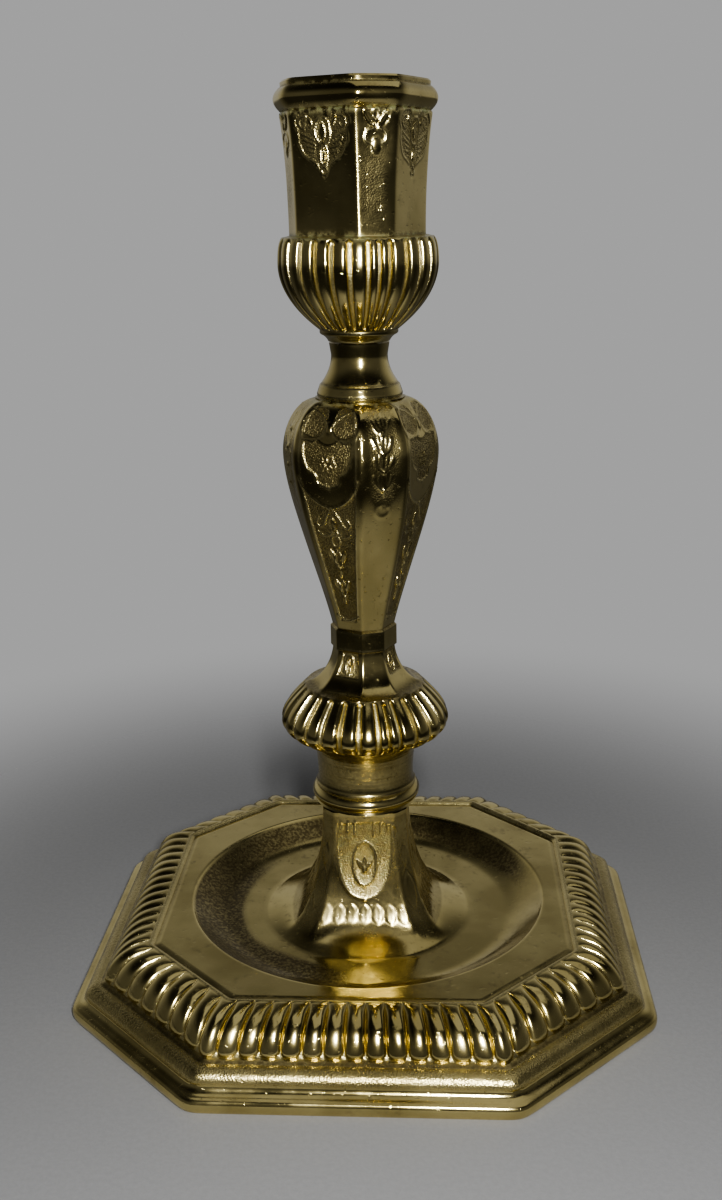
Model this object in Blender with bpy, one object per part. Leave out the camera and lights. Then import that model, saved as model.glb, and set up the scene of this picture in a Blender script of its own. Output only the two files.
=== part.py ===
"""A brass candlestick: an octagonal foot with a gadrooned border, a baluster stem that screws
into it, and an octagonal candle socket on a gadrooned bowl.

The foot is one hollow casting. The stem and the socket are each cast as two hollow halves and
brazed together along an upright seam. A threaded plug is brazed into the stem's lower end and
screws into the top of the foot's pillar. A peg through the bowl holds the socket on the stem,
and its head is the floor of the candle hole.

Metres, +Z up. The origin is on the axis, at the level that the foot stands on, and a long side
of the foot faces -Y.
"""

import math
from collections import namedtuple

import bmesh
import bpy
from mathutils import Matrix, Vector
from mathutils.geometry import interpolate_bezier

# ---- Clearances ----
FIT_GAP = 0.0003            # between two pieces that touch
THREAD_GAP = 0.0003         # between the screw and the tapped hole, on the radius

# ---- Foot ----
FOOT_WIDTH = 0.1300         # across the long sides
FOOT_LONG_SIDE = 0.0676     # length of a long side, at the widest line
FOOT_WALL = 0.0026
BAND_HEIGHT = 0.0031        # upright band at the bottom
BAND_UNDERCUT = 0.0006      # how far the resting edge lies inside the widest line
OVOLO_FOOT_INSET = 0.0024   # convex moulding above the band, measured in from the widest line
OVOLO_TOP_INSET = 0.0062
OVOLO_TOP_Z = 0.0074
BORDER_FOOT_INSET = 0.0072  # gadrooned border
BORDER_FOOT_Z = 0.0080
BORDER_TOP_INSET = 0.0168
BORDER_TOP_Z = 0.0152
BORDER_BULGE = 0.0024       # crest line of the lobes, off the straight line between their ends
BORDER_RELIEF = 0.0011      # crest above groove
LOBES_LONG_SIDE = 14
LOBES_SHORT_SIDE = 7
PANEL_Z = 0.0148
PANEL_EDGE = 0.0014         # width of the raised edge round the panel
PANEL_MARGIN = 0.0049       # flat panel between its raised edge and the well
WELL_SLOPE = 0.0088         # width of the hollow slope at the well's side
WELL_DEPTH = 0.0046

# ---- Pillar, part of the foot casting ----
PILLAR_TOP_Z = 0.0395
PILLAR_TOP_RADIUS = 0.0120  # corner radius of its eight-sided section
PILLAR_FOOT_RADIUS = 0.0245 # where its flare meets the floor of the well
PILLAR_WALL = 0.0026
PILLAR_NARROW = math.radians(18.0)

# ---- Screw between stem and foot ----
SCREW_RADIUS = 0.0050       # thread crest
SCREW_LENGTH = 0.0120
BOSS_MARGIN = 0.0010        # how much deeper the tapped boss is than the screw
PLUG_RADIUS = 0.0067        # the part brazed into the stem
PLUG_LENGTH = 0.0095

# ---- Stem ----
STEM_TWIST = math.radians(20.0)
STEM_WALL = 0.0022
STEM_NARROW = math.radians(36.0)
RING_RADIUS = 0.0125
RING_EDGE_RADIUS = 0.0118
RING_HEIGHT = 0.0043
WAIST_RADIUS = 0.0111
WAIST_HEIGHT = 0.0113
KNOP_RADIUS = 0.0193
KNOP_FOOT_RADIUS = 0.0126
KNOP_TOP_RADIUS = 0.0123
KNOP_LOWER_HEIGHT = 0.0046
KNOP_UPPER_HEIGHT = 0.0084
KNOP_RELIEF = 0.0012
FLARE_HEIGHT = 0.0085
COLLAR_RADIUS = 0.0076
COLLAR_HEIGHT = 0.0053
BALUSTER_FOOT_RADIUS = 0.0071
BALUSTER_RADIUS = 0.01725
BALUSTER_HEIGHT = 0.0395    # from the collar to the widest line
SHOULDER_RADIUS = 0.0100
SHOULDER_HEIGHT = 0.0117    # from the widest line to the throat
THROAT_BAND_RADIUS = 0.0092
THROAT_BAND_HEIGHT = 0.0028
THROAT_RADIUS = 0.0061
THROAT_TOP_RADIUS = 0.0065
THROAT_HEIGHT = 0.0085

# ---- Socket ----
SOCKET_TWIST = math.radians(18.5)
SOCKET_NARROW = math.radians(32.0)
BOWL_COLLAR_RADIUS = 0.0066
BOWL_FOOT_RADIUS = 0.0084
BOWL_FOOT_HEIGHT = 0.0024
BOWL_RADIUS = 0.0170
BOWL_LOWER_HEIGHT = 0.0138
BOWL_TOP_RADIUS = 0.0148
BOWL_UPPER_HEIGHT = 0.0052
BOWL_RELIEF = 0.0011
TUBE_RADIUS = 0.01445       # corner radius at the socket's narrowest
TUBE_TOP_RADIUS = 0.0159
TUBE_HEIGHT = 0.0242
RIM_RADIUS = 0.0168
RIM_HEIGHT = 0.0046
LIP_RADIUS = 0.0153
LIP_HEIGHT = 0.0011
CANDLE_BORE_RADIUS = 0.0106
SHELF_HEIGHT = 0.0091       # the shelf inside the bowl that holds the peg's head

# ---- Peg between socket and stem ----
PEG_RADIUS = 0.0039
PEG_LENGTH = 0.0110         # length inside the stem
PEG_HEAD_THICKNESS = 0.0022

# ---- Pattern and facets ----
LOBES_ROUND = 28            # on the knop and on the bowl
ROUND_SIDES = 32

# ---- Worked out from the sizes above ----
WELL_RADIUS = FOOT_WIDTH / 2 - BORDER_TOP_INSET - PANEL_EDGE - PANEL_MARGIN
WELL_FLOOR_RADIUS = WELL_RADIUS - WELL_SLOPE
WELL_FLOOR_Z = PANEL_Z - WELL_DEPTH
FLARE_RADIUS = min(PILLAR_FOOT_RADIUS, WELL_FLOOR_RADIUS - 0.002)
BOSS_FOOT_Z = PILLAR_TOP_Z - SCREW_LENGTH - BOSS_MARGIN
SCREW_HOLE_RADIUS = SCREW_RADIUS + THREAD_GAP
STEM_FOOT_Z = PILLAR_TOP_Z + FIT_GAP
PLUG_HOLE_RADIUS = PLUG_RADIUS + FIT_GAP
PEG_HOLE_RADIUS = PEG_RADIUS + FIT_GAP

ROUND, LOBED, OCTAGON = "round", "lobed", "octagon"
Row = namedtuple("Row", "radius z section relief")


class Outline:
    """The outside of a turned or eight-sided piece, drawn upwards row by row."""

    def __init__(self, radius, z, section=ROUND):
        self.rows = [Row(radius, z, section, 0.0)]

    @property
    def top(self):
        return self.rows[-1].z

    def line(self, radius, rise, section=ROUND):
        """A straight line to this radius, this far further up."""
        self.rows.append(Row(radius, self.top + rise, section, 0.0))

    def curve(self, radius, rise, lean_in, lean_out, steps, section=ROUND, relief=0.0):
        """A Bezier curve. Each lean is a handle: shares of the change in radius and of the rise."""
        start = self.rows[-1]
        change = radius - start.radius

        def handle(lean):
            return Vector((start.radius + lean[0] * change, start.z + lean[1] * rise, 0.0))

        points = interpolate_bezier(
            Vector((start.radius, start.z, 0.0)), handle(lean_in), handle(lean_out),
            Vector((radius, start.z + rise, 0.0)), steps + 1)
        self.rows += [Row(point.x, point.y, section, relief) for point in points[1:]]

    def bulge(self, radius, rise, height_out, steps, section=ROUND):
        """A half-round swelling that ends at this radius and stands this far out of its chord."""
        start = self.rows[-1]
        for step in range(1, steps + 1):
            share = step / steps
            swell = height_out * math.sin(math.pi * share)
            self.rows.append(Row(start.radius + share * (radius - start.radius) + swell,
                                 start.z + share * rise, section, 0.0))


# ---- Rings of points, anticlockwise seen from above ----
def polar(radius, angle, z):
    return Vector((radius * math.cos(angle), radius * math.sin(angle), z))


def round_ring(radius, z, sides=ROUND_SIDES):
    return [polar(radius, math.tau * side / sides, z) for side in range(sides)]


def facet_ring(radius, z, narrow):
    """Eight corners, with a narrow facet of this angle centred on each axis."""
    corners = []
    for quarter in range(4):
        middle = math.tau * quarter / 4
        corners += [polar(radius, middle - narrow / 2, z), polar(radius, middle + narrow / 2, z)]
    return corners


def lobed_ring(radius, z, relief):
    """Lobes with a groove on each axis. The radius is that of their crests."""
    points = []
    pitch = math.tau / LOBES_ROUND
    for lobe in range(LOBES_ROUND):
        points.append(polar(radius - relief, lobe * pitch, z))
        points.append(polar(radius, (lobe + 0.3) * pitch, z))
        points.append(polar(radius, (lobe + 0.7) * pitch, z))
    return points


def ring_of(row, narrow):
    if row.section == OCTAGON:
        return facet_ring(row.radius, row.z, narrow)
    if row.section == LOBED:
        return lobed_ring(row.radius, row.z, row.relief)
    return round_ring(row.radius, row.z)


def foot_ring(inset, z):
    """The foot's eight corners, this far inside its widest line."""
    half_width = FOOT_WIDTH / 2 - inset
    half_side = FOOT_LONG_SIDE / 2 - inset * math.tan(math.pi / 8)
    corners = []
    for quarter in range(4):
        turn = Matrix.Rotation(math.tau * quarter / 4, 3, "Z")
        corners.append(turn @ Vector((half_width, -half_side, z)))
        corners.append(turn @ Vector((half_width, half_side, z)))
    return corners


def border_ring(groove, crest):
    """Lobes round the foot, with a crest at each corner. Groove and crest are (inset, z)."""
    low, high = foot_ring(*groove), foot_ring(*crest)
    points = []
    for side in range(8):
        lobes = LOBES_SHORT_SIDE if side % 2 else LOBES_LONG_SIDE
        after = (side + 1) % 8
        for lobe in range(lobes):
            points.append(high[side].lerp(high[after], (lobe + 0.24) / lobes))
            points.append(low[side].lerp(low[after], (lobe + 0.5) / lobes))
            points.append(high[side].lerp(high[after], (lobe + 0.76) / lobes))
    return points


# ---- Meshes ----
def bearing(point):
    """The point's angle about the axis, from 0 to a full turn."""
    return (math.atan2(point.y, point.x) + 1e-6) % math.tau


def bridge(mesh, lower, upper):
    """Faces between two rings that are sorted by bearing, whatever their numbers of points."""
    count_low, count_up = len(lower), len(upper)
    if count_low == count_up:
        for here in range(count_low):
            after = (here + 1) % count_low
            mesh.faces.new((lower[here], lower[after], upper[after], upper[here]))
        return

    def angle(ring, step):
        return bearing(ring[step % len(ring)].co) + math.tau * (step // len(ring))

    low = up = 0
    while low < count_low or up < count_up:
        here_low, here_up = lower[low % count_low], upper[up % count_up]
        next_low = angle(lower, low + 1) if low < count_low else math.inf
        next_up = angle(upper, up + 1) if up < count_up else math.inf
        if next_low <= next_up:
            low += 1
            mesh.faces.new((here_low, lower[low % count_low], here_up))
        else:
            up += 1
            mesh.faces.new((here_low, upper[up % count_up], here_up))


def loft(name, rings, tube):
    """A closed body through these rings, outside upwards. A tube's last ring joins its first."""
    mesh = bmesh.new()
    loops = [[mesh.verts.new(point) for point in sorted(ring, key=bearing)] for ring in rings]
    for lower, upper in zip(loops, loops[1:]):
        bridge(mesh, lower, upper)
    if tube:
        bridge(mesh, loops[-1], loops[0])
    else:
        mesh.faces.new(reversed(loops[0]))
        mesh.faces.new(loops[-1])
    bmesh.ops.recalc_face_normals(mesh, faces=mesh.faces)
    data = bpy.data.meshes.new(name)
    mesh.to_mesh(data)
    mesh.free()
    data.shade_smooth()
    data.set_sharp_from_angle(angle=math.radians(30.0))
    part = bpy.data.objects.new(name, data)
    bpy.context.scene.collection.objects.link(part)
    return part


def brass(name, colour, roughness):
    material = bpy.data.materials.new(name)
    material.use_nodes = True
    shader = material.node_tree.nodes["Principled BSDF"]
    shader.inputs["Base Color"].default_value = (*colour, 1.0)
    shader.inputs["Metallic"].default_value = 1.0
    shader.inputs["Roughness"].default_value = roughness
    return material


def finish(part, parent, material):
    part.parent = parent
    part.data.materials.append(material)


def axis_empty(name, z, turn):
    """The empty that an assembly hangs on, on the candlestick's axis."""
    empty = bpy.data.objects.new(name, None)
    empty.location = (0.0, 0.0, z)
    empty.rotation_euler = (0.0, 0.0, turn)
    bpy.context.scene.collection.objects.link(empty)
    return empty


def half_cutter(name, side, reach, height, parent):
    """A box that holds one half of a casting, up to the seam. The seam is the YZ plane."""
    mesh = bmesh.new()
    bmesh.ops.create_cube(mesh, size=1.0)
    middle = side * (reach + FIT_GAP) / 2
    bmesh.ops.transform(mesh, verts=mesh.verts, matrix=Matrix.LocRotScale(
        Vector((middle, 0.0, height / 2)), None, Vector((reach, 3.0 * reach, 1.5 * height))))
    data = bpy.data.meshes.new(name)
    mesh.to_mesh(data)
    mesh.free()
    cutter = bpy.data.objects.new(name, data)
    cutter.hide_render = True
    cutter.display_type = "WIRE"
    cutter.parent = parent
    bpy.context.scene.collection.objects.link(cutter)
    return cutter


def brazed_halves(name, rings, parent, reach, height, material):
    """The two halves of a hollow casting, left and right of its upright seam."""
    for word, side in (("left", -1), ("right", 1)):
        half = loft(f"{name}_{word}_half", rings, tube=True)
        finish(half, parent, material)
        cut = half.modifiers.new("seam", "BOOLEAN")
        cut.operation = "INTERSECT"
        cut.solver = "EXACT"
        cut.object = half_cutter(f"{name}_{word}_cutter", side, reach, height, parent)


# ---- Foot ----
def border_point(share, bulge):
    """(inset, z) on the curve of the gadrooned border, from its foot to its top."""
    run = BORDER_TOP_INSET - BORDER_FOOT_INSET
    rise = BORDER_TOP_Z - BORDER_FOOT_Z
    length = math.hypot(run, rise)
    swell = bulge * math.sin(math.pi * share) ** 0.8
    return (BORDER_FOOT_INSET + share * run - swell * rise / length,
            BORDER_FOOT_Z + share * rise + swell * run / length)


def foot_outside():
    """Rings from the resting edge up over the mouldings to the panel's raised edge."""
    rings = [
        foot_ring(BAND_UNDERCUT, 0.0),
        foot_ring(0.0, 0.4 * BAND_HEIGHT),
        foot_ring(0.0, 0.75 * BAND_HEIGHT),
        foot_ring(0.4 * OVOLO_FOOT_INSET, BAND_HEIGHT),
        foot_ring(OVOLO_FOOT_INSET, BAND_HEIGHT + 0.0004),
    ]
    start = Vector((OVOLO_FOOT_INSET, BAND_HEIGHT + 0.0004, 0.0))
    end = Vector((OVOLO_TOP_INSET, OVOLO_TOP_Z, 0.0))
    for point in interpolate_bezier(
            start, Vector((start.x, start.y + 0.6 * (end.y - start.y), 0.0)),
            Vector((start.x + 0.4 * (end.x - start.x), end.y, 0.0)), end, 5)[1:]:
        rings.append(foot_ring(point.x, point.y))
    rings.append(foot_ring(BORDER_FOOT_INSET, BORDER_FOOT_Z))
    for share in (0.10, 0.33, 0.62, 0.90):
        rings.append(border_ring(border_point(share, BORDER_BULGE - BORDER_RELIEF),
                                 border_point(share, BORDER_BULGE)))
    rings.append(foot_ring(BORDER_TOP_INSET, BORDER_TOP_Z))
    rings.append(foot_ring(BORDER_TOP_INSET + PANEL_EDGE, PANEL_Z))
    return rings


def well_rings():
    """The hollow slope down from the panel, and the floor out to the pillar's flare."""
    rings = []
    for share in (0.0, 0.12, 0.3, 0.55, 0.8, 1.0):
        fall = math.sin(share * math.pi / 2)
        rings.append(round_ring(WELL_RADIUS - share * WELL_SLOPE, PANEL_Z - fall * WELL_DEPTH,
                                2 * ROUND_SIDES))
    rings.append(round_ring(FLARE_RADIUS, WELL_FLOOR_Z))
    return rings


def pillar_outline():
    """(corner radius, z) from the floor of the well to the pillar's top."""
    spread = FLARE_RADIUS - PILLAR_TOP_RADIUS
    rise = PILLAR_TOP_Z - WELL_FLOOR_Z
    points = interpolate_bezier(
        Vector((FLARE_RADIUS, WELL_FLOOR_Z, 0.0)),
        Vector((FLARE_RADIUS - 0.68 * spread, WELL_FLOOR_Z + 0.06 * rise, 0.0)),
        Vector((PILLAR_TOP_RADIUS, WELL_FLOOR_Z + 0.55 * rise, 0.0)),
        Vector((PILLAR_TOP_RADIUS, PILLAR_TOP_Z, 0.0)), 11)
    return [(point.x, point.y) for point in points]


def foot_underside(outline):
    """Rings from the pillar's tapped hole down the inside of the casting to its resting edge."""
    flat = math.cos(math.pi / 4 - PILLAR_NARROW / 2)
    rings = [round_ring(SCREW_HOLE_RADIUS, PILLAR_TOP_Z),
             round_ring(SCREW_HOLE_RADIUS, BOSS_FOOT_Z)]
    for radius, z in reversed(outline[2:]):
        inside = radius * flat - PILLAR_WALL
        if z < BOSS_FOOT_Z + FOOT_WALL:
            rings.append(round_ring(inside, min(z, BOSS_FOOT_Z)))
    floor_under = WELL_FLOOR_Z - FOOT_WALL
    rings.append(round_ring(FLARE_RADIUS - PILLAR_WALL, floor_under))
    rings.append(round_ring(WELL_FLOOR_RADIUS, floor_under))
    rings.append(round_ring(WELL_RADIUS, PANEL_Z - FOOT_WALL))
    rings.append(foot_ring(BORDER_TOP_INSET + 0.5 * FOOT_WALL, PANEL_Z - FOOT_WALL))
    rings.append(foot_ring(BORDER_FOOT_INSET + FOOT_WALL, BORDER_FOOT_Z - 0.8 * FOOT_WALL))
    rings.append(foot_ring(OVOLO_FOOT_INSET + FOOT_WALL, 0.8 * BAND_HEIGHT))
    rings.append(foot_ring(BAND_UNDERCUT + FOOT_WALL, 0.0))
    return rings


def make_foot():
    outline = pillar_outline()
    pillar = [facet_ring(radius, z, PILLAR_NARROW) for radius, z in outline[2:]]
    # The narrow facets face the foot's cut corners.
    turn = Matrix.Rotation(math.pi / 4, 3, "Z")
    pillar = [[turn @ point for point in ring] for ring in pillar]
    flare = [round_ring(*outline[1])]
    rings = foot_outside() + well_rings() + flare + pillar + foot_underside(outline)
    foot = loft("foot", rings, tube=True)
    finish(foot, axis_empty("foot_axis", 0.0, 0.0), brass("foot_brass", (0.44, 0.33, 0.12), 0.34))


# ---- Stem ----
def stem_outline():
    out = Outline(RING_EDGE_RADIUS, 0.0)
    out.bulge(RING_EDGE_RADIUS, RING_HEIGHT, RING_RADIUS - RING_EDGE_RADIUS, 4)
    out.curve(WAIST_RADIUS, 0.2 * WAIST_HEIGHT, (0.9, 0.1), (1.0, 0.6), 2)
    out.curve(KNOP_FOOT_RADIUS, 0.8 * WAIST_HEIGHT, (0.0, 0.45), (0.35, 0.85), 4)
    out.curve(KNOP_RADIUS, KNOP_LOWER_HEIGHT, (0.55, 0.08), (1.0, 0.5), 4, LOBED, KNOP_RELIEF)
    out.curve(KNOP_TOP_RADIUS + KNOP_RELIEF, KNOP_UPPER_HEIGHT, (0.0, 0.35), (0.6, 0.72), 4,
              LOBED, KNOP_RELIEF)
    out.line(KNOP_TOP_RADIUS, 0.0003, OCTAGON)
    out.curve(BALUSTER_FOOT_RADIUS, FLARE_HEIGHT, (0.55, 0.16), (0.93, 0.6), 5, OCTAGON)
    out.line(COLLAR_RADIUS, 0.0004, OCTAGON)
    out.line(COLLAR_RADIUS, COLLAR_HEIGHT - 0.0008, OCTAGON)
    out.line(BALUSTER_FOOT_RADIUS, 0.0004, OCTAGON)
    out.curve(BALUSTER_RADIUS, BALUSTER_HEIGHT, (0.30, 0.32), (1.0, 0.76), 9, OCTAGON)
    out.curve(SHOULDER_RADIUS, SHOULDER_HEIGHT, (0.0, 0.45), (0.4, 0.96), 6, OCTAGON)
    out.line(THROAT_BAND_RADIUS, 0.0004)
    out.line(THROAT_BAND_RADIUS - 0.0005, THROAT_BAND_HEIGHT)
    out.curve(THROAT_RADIUS, 0.7 * THROAT_HEIGHT, (0.4, 0.22), (1.0, 0.55), 4)
    out.line(THROAT_TOP_RADIUS, 0.3 * THROAT_HEIGHT)
    return out


def room_inside(row, narrow):
    """The radius of the largest circle that fits inside a row's section."""
    if row.section == OCTAGON:
        return row.radius * math.cos(math.pi / 4 - narrow / 2)
    return row.radius - row.relief


def stem_rings(out):
    """The outline's rings, then those of the hollow inside it, downwards."""
    throat_z = out.top - THROAT_HEIGHT - THROAT_BAND_HEIGHT
    bore_top = PLUG_LENGTH + FIT_GAP
    inside = [(PEG_HOLE_RADIUS, out.top), (PEG_HOLE_RADIUS, throat_z - 0.0015)]
    for row in reversed(out.rows[::2]):
        if bore_top + 0.001 < row.z < throat_z - 0.002:
            inside.append((max(room_inside(row, STEM_NARROW) - STEM_WALL, PEG_HOLE_RADIUS), row.z))
    inside += [(PLUG_HOLE_RADIUS, bore_top), (PLUG_HOLE_RADIUS, 0.0)]
    rings = [ring_of(row, STEM_NARROW) for row in out.rows]
    return rings + [round_ring(radius, z, ROUND_SIDES - 8) for radius, z in inside]


def make_stem(out):
    axis = axis_empty("stem_axis", STEM_FOOT_Z, STEM_TWIST)
    brazed_halves("stem", stem_rings(out), axis, 2.0 * KNOP_RADIUS, out.top,
                  brass("stem_brass", (0.50, 0.38, 0.14), 0.26))
    plug = loft("stem_screw", [
        round_ring(SCREW_RADIUS - 0.0010, -SCREW_LENGTH),
        round_ring(SCREW_RADIUS, -SCREW_LENGTH + 0.0010),
        round_ring(SCREW_RADIUS, 0.0),
        round_ring(PLUG_RADIUS, 0.0),
        round_ring(PLUG_RADIUS, PLUG_LENGTH),
    ], tube=False)
    finish(plug, axis, brass("screw_brass", (0.55, 0.42, 0.18), 0.38))


# ---- Socket ----
def socket_outline():
    out = Outline(BOWL_COLLAR_RADIUS, 0.0)
    out.line(BOWL_FOOT_RADIUS, BOWL_FOOT_HEIGHT)
    out.curve(BOWL_RADIUS, BOWL_LOWER_HEIGHT, (0.42, 0.2), (1.0, 0.55), 6, LOBED, BOWL_RELIEF)
    out.curve(BOWL_TOP_RADIUS + BOWL_RELIEF, BOWL_UPPER_HEIGHT, (0.0, 0.5), (0.3, 0.9), 3,
              LOBED, BOWL_RELIEF)
    out.line(TUBE_RADIUS, 0.0003, OCTAGON)
    out.curve(TUBE_TOP_RADIUS, TUBE_HEIGHT, (0.0, 0.4), (0.45, 0.8), 6, OCTAGON)
    out.bulge(TUBE_TOP_RADIUS, RIM_HEIGHT, RIM_RADIUS - TUBE_TOP_RADIUS, 5, OCTAGON)
    out.line(LIP_RADIUS, 0.0002, OCTAGON)
    out.line(LIP_RADIUS, LIP_HEIGHT, OCTAGON)
    return out


def make_socket(out, stem_top):
    axis = axis_empty("socket_axis", STEM_FOOT_Z + stem_top + FIT_GAP, SOCKET_TWIST)
    rings = [ring_of(row, SOCKET_NARROW) for row in out.rows]
    rings += [
        round_ring(CANDLE_BORE_RADIUS, out.top),
        round_ring(CANDLE_BORE_RADIUS, SHELF_HEIGHT),
        round_ring(PEG_HOLE_RADIUS, SHELF_HEIGHT),
        round_ring(PEG_HOLE_RADIUS, 0.0),
    ]
    brazed_halves("socket", rings, axis, 2.0 * BOWL_RADIUS, out.top,
                  brass("socket_brass", (0.50, 0.38, 0.15), 0.24))
    head_radius = CANDLE_BORE_RADIUS - FIT_GAP
    head_z = SHELF_HEIGHT + FIT_GAP
    peg = loft("socket_peg", [
        round_ring(PEG_RADIUS, -FIT_GAP - PEG_LENGTH),
        round_ring(PEG_RADIUS, head_z),
        round_ring(head_radius, head_z),
        round_ring(head_radius, head_z + PEG_HEAD_THICKNESS),
    ], tube=False)
    finish(peg, axis, brass("peg_brass", (0.42, 0.31, 0.12), 0.40))


def clear_scene():
    for old in list(bpy.data.objects):
        bpy.data.objects.remove(old, do_unlink=True)


def main():
    clear_scene()
    make_foot()
    stem = stem_outline()
    make_stem(stem)
    make_socket(socket_outline(), stem.top)


main()
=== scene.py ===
"""The looks of an old brass candlestick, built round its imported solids.

The foot, the two halves of the stem, the two halves of the socket, the stem's screw and the
socket's peg each get a finished piece: turned or run up as a plain form, then lobed, faceted and
chased. Metres, +Z up, the origin on the axis at the level that the foot stands on.
"""

import logging
import math
from dataclasses import dataclass
from enum import Enum

import bpy
import numpy as np
from mathutils import Matrix, Vector
from mathutils.geometry import interpolate_bezier


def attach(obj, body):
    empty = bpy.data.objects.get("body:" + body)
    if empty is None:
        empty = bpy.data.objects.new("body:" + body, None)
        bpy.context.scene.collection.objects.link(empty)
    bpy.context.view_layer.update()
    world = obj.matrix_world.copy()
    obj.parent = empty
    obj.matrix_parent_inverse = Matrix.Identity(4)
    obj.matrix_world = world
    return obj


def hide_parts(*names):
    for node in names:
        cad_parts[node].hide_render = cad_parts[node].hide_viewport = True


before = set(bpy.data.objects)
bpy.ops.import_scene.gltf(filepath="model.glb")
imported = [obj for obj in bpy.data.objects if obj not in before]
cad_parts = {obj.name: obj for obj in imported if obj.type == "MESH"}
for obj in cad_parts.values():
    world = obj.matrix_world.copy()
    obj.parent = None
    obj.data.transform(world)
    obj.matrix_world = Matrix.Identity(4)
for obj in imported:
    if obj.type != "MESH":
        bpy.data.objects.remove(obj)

LOG = logging.getLogger("candlestick")
MM = 0.001
STEM_Z = 0.0398                     # where the stem stands on the foot
SOCKET_Z = 0.1457                   # where the socket stands on the stem
STEM_TURN = math.radians(20.0)      # how far the stem's facets stand round from the foot's
SOCKET_TURN = math.radians(18.5)


# ---------------------------------------------------------------------------------------------
# Bench: the operators that every piece is made with
# ---------------------------------------------------------------------------------------------
def deselect_all() -> None:
    """Leave object mode with nothing selected."""
    if bpy.context.mode != "OBJECT":
        bpy.ops.object.mode_set(mode="OBJECT")
    bpy.ops.object.select_all(action="DESELECT")


def work_on(piece: bpy.types.Object) -> None:
    """Select one piece alone and make it active.

    Args:
        piece: The piece to work on.
    """
    deselect_all()
    piece.select_set(True)
    bpy.context.view_layer.objects.active = piece


def draw_profile(name: str, points: np.ndarray) -> bpy.types.Object:
    """Draw a line through points by extruding one vertex along it.

    Args:
        name: Name of the new piece.
        points: One row of x, y, z for each point, in order.

    Returns:
        The piece, with its point numbers in the attribute "row".
    """
    deselect_all()
    bpy.ops.mesh.primitive_plane_add(size=MM, location=tuple(points[0]))
    piece = bpy.context.active_object
    piece.name = piece.data.name = name
    bpy.ops.object.transform_apply(location=True, rotation=True, scale=True)
    bpy.ops.object.mode_set(mode="EDIT")
    bpy.ops.mesh.select_mode(type="VERT")
    bpy.ops.mesh.select_all(action="SELECT")
    bpy.ops.mesh.merge(type="CENTER")
    for step in np.diff(points, axis=0):
        bpy.ops.mesh.extrude_region_move(TRANSFORM_OT_translate={"value": tuple(step)})
    bpy.ops.object.mode_set(mode="OBJECT")
    rows = piece.data.attributes.new("row", "FLOAT", "POINT")
    rows.data.foreach_set("value", np.arange(len(points), dtype=np.float32))
    return piece


def spin(piece: bpy.types.Object, steps: int, angle: float) -> None:
    """Turn a profile about the candlestick's axis and weld what meets.

    Args:
        piece: The profile.
        steps: Steps in the turn.
        angle: How far it turns, in radians.
    """
    work_on(piece)
    bpy.ops.object.mode_set(mode="EDIT")
    bpy.ops.mesh.select_all(action="SELECT")
    bpy.ops.mesh.spin(steps=steps, angle=angle, center=(0.0, 0.0, 0.0), axis=(0.0, 0.0, 1.0))
    bpy.ops.mesh.select_all(action="SELECT")
    bpy.ops.mesh.remove_doubles(threshold=2e-6)
    bpy.ops.object.mode_set(mode="OBJECT")


def points_of(piece: bpy.types.Object) -> np.ndarray:
    """Read where the piece's vertices are.

    Args:
        piece: The piece.

    Returns:
        One row of x, y, z for each vertex.
    """
    flat = np.empty(len(piece.data.vertices) * 3, np.float32)
    piece.data.vertices.foreach_get("co", flat)
    return flat.reshape(-1, 3).astype(float)


def set_points(piece: bpy.types.Object, points: np.ndarray) -> None:
    """Move the piece's vertices."""
    piece.data.vertices.foreach_set("co", points.astype(np.float32).ravel())
    piece.data.update()


def read_layer(piece: bpy.types.Object, name: str) -> np.ndarray:
    """Read a named attribute.

    Args:
        piece: The piece.
        name: The attribute.

    Returns:
        One number for each vertex.
    """
    values = np.empty(len(piece.data.vertices), np.float32)
    piece.data.attributes[name].data.foreach_get("value", values)
    return values.astype(float)


def write_layer(piece: bpy.types.Object, name: str, values: np.ndarray) -> None:
    """Store one number for each vertex, from 0 to 1, for the finish to read."""
    layer = piece.data.attributes.get(name) or piece.data.attributes.new(name, "FLOAT", "POINT")
    layer.data.foreach_set("value", np.clip(values, 0.0, 1.0).astype(np.float32))


def close_and_face_out(piece: bpy.types.Object, sharp: float = 42.0) -> None:
    """Fill the open ends, turn every face outwards and smooth the shading.

    Args:
        piece: The piece, its shape final.
        sharp: Edges that turn by more than this many degrees stay sharp.
    """
    work_on(piece)
    bpy.ops.object.mode_set(mode="EDIT")
    bpy.ops.mesh.select_mode(type="EDGE")
    bpy.ops.mesh.select_all(action="DESELECT")
    bpy.ops.mesh.select_non_manifold(extend=False)
    if any(edge.select for edge in _edges_now(piece)):
        bpy.ops.mesh.fill(use_beauty=False)
    bpy.ops.mesh.select_all(action="SELECT")
    bpy.ops.mesh.normals_make_consistent(inside=False)
    bpy.ops.object.mode_set(mode="OBJECT")
    bpy.ops.object.shade_smooth_by_angle(angle=math.radians(sharp))


def _edges_now(piece: bpy.types.Object) -> list[bpy.types.MeshEdge]:
    """The edges as edit mode has them now."""
    piece.update_from_editmode()
    return list(piece.data.edges)


def dress(piece: bpy.types.Object, finish: "Finish", body: str, node: str) -> None:
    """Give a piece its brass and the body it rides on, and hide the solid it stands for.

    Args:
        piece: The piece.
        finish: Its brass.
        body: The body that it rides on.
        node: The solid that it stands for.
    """
    piece.data.materials.clear()
    piece.data.materials.append(finish.material())
    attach(piece, body)
    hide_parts(node)
    LOG.info("%s: %d faces", piece.name, len(piece.data.polygons))


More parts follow.
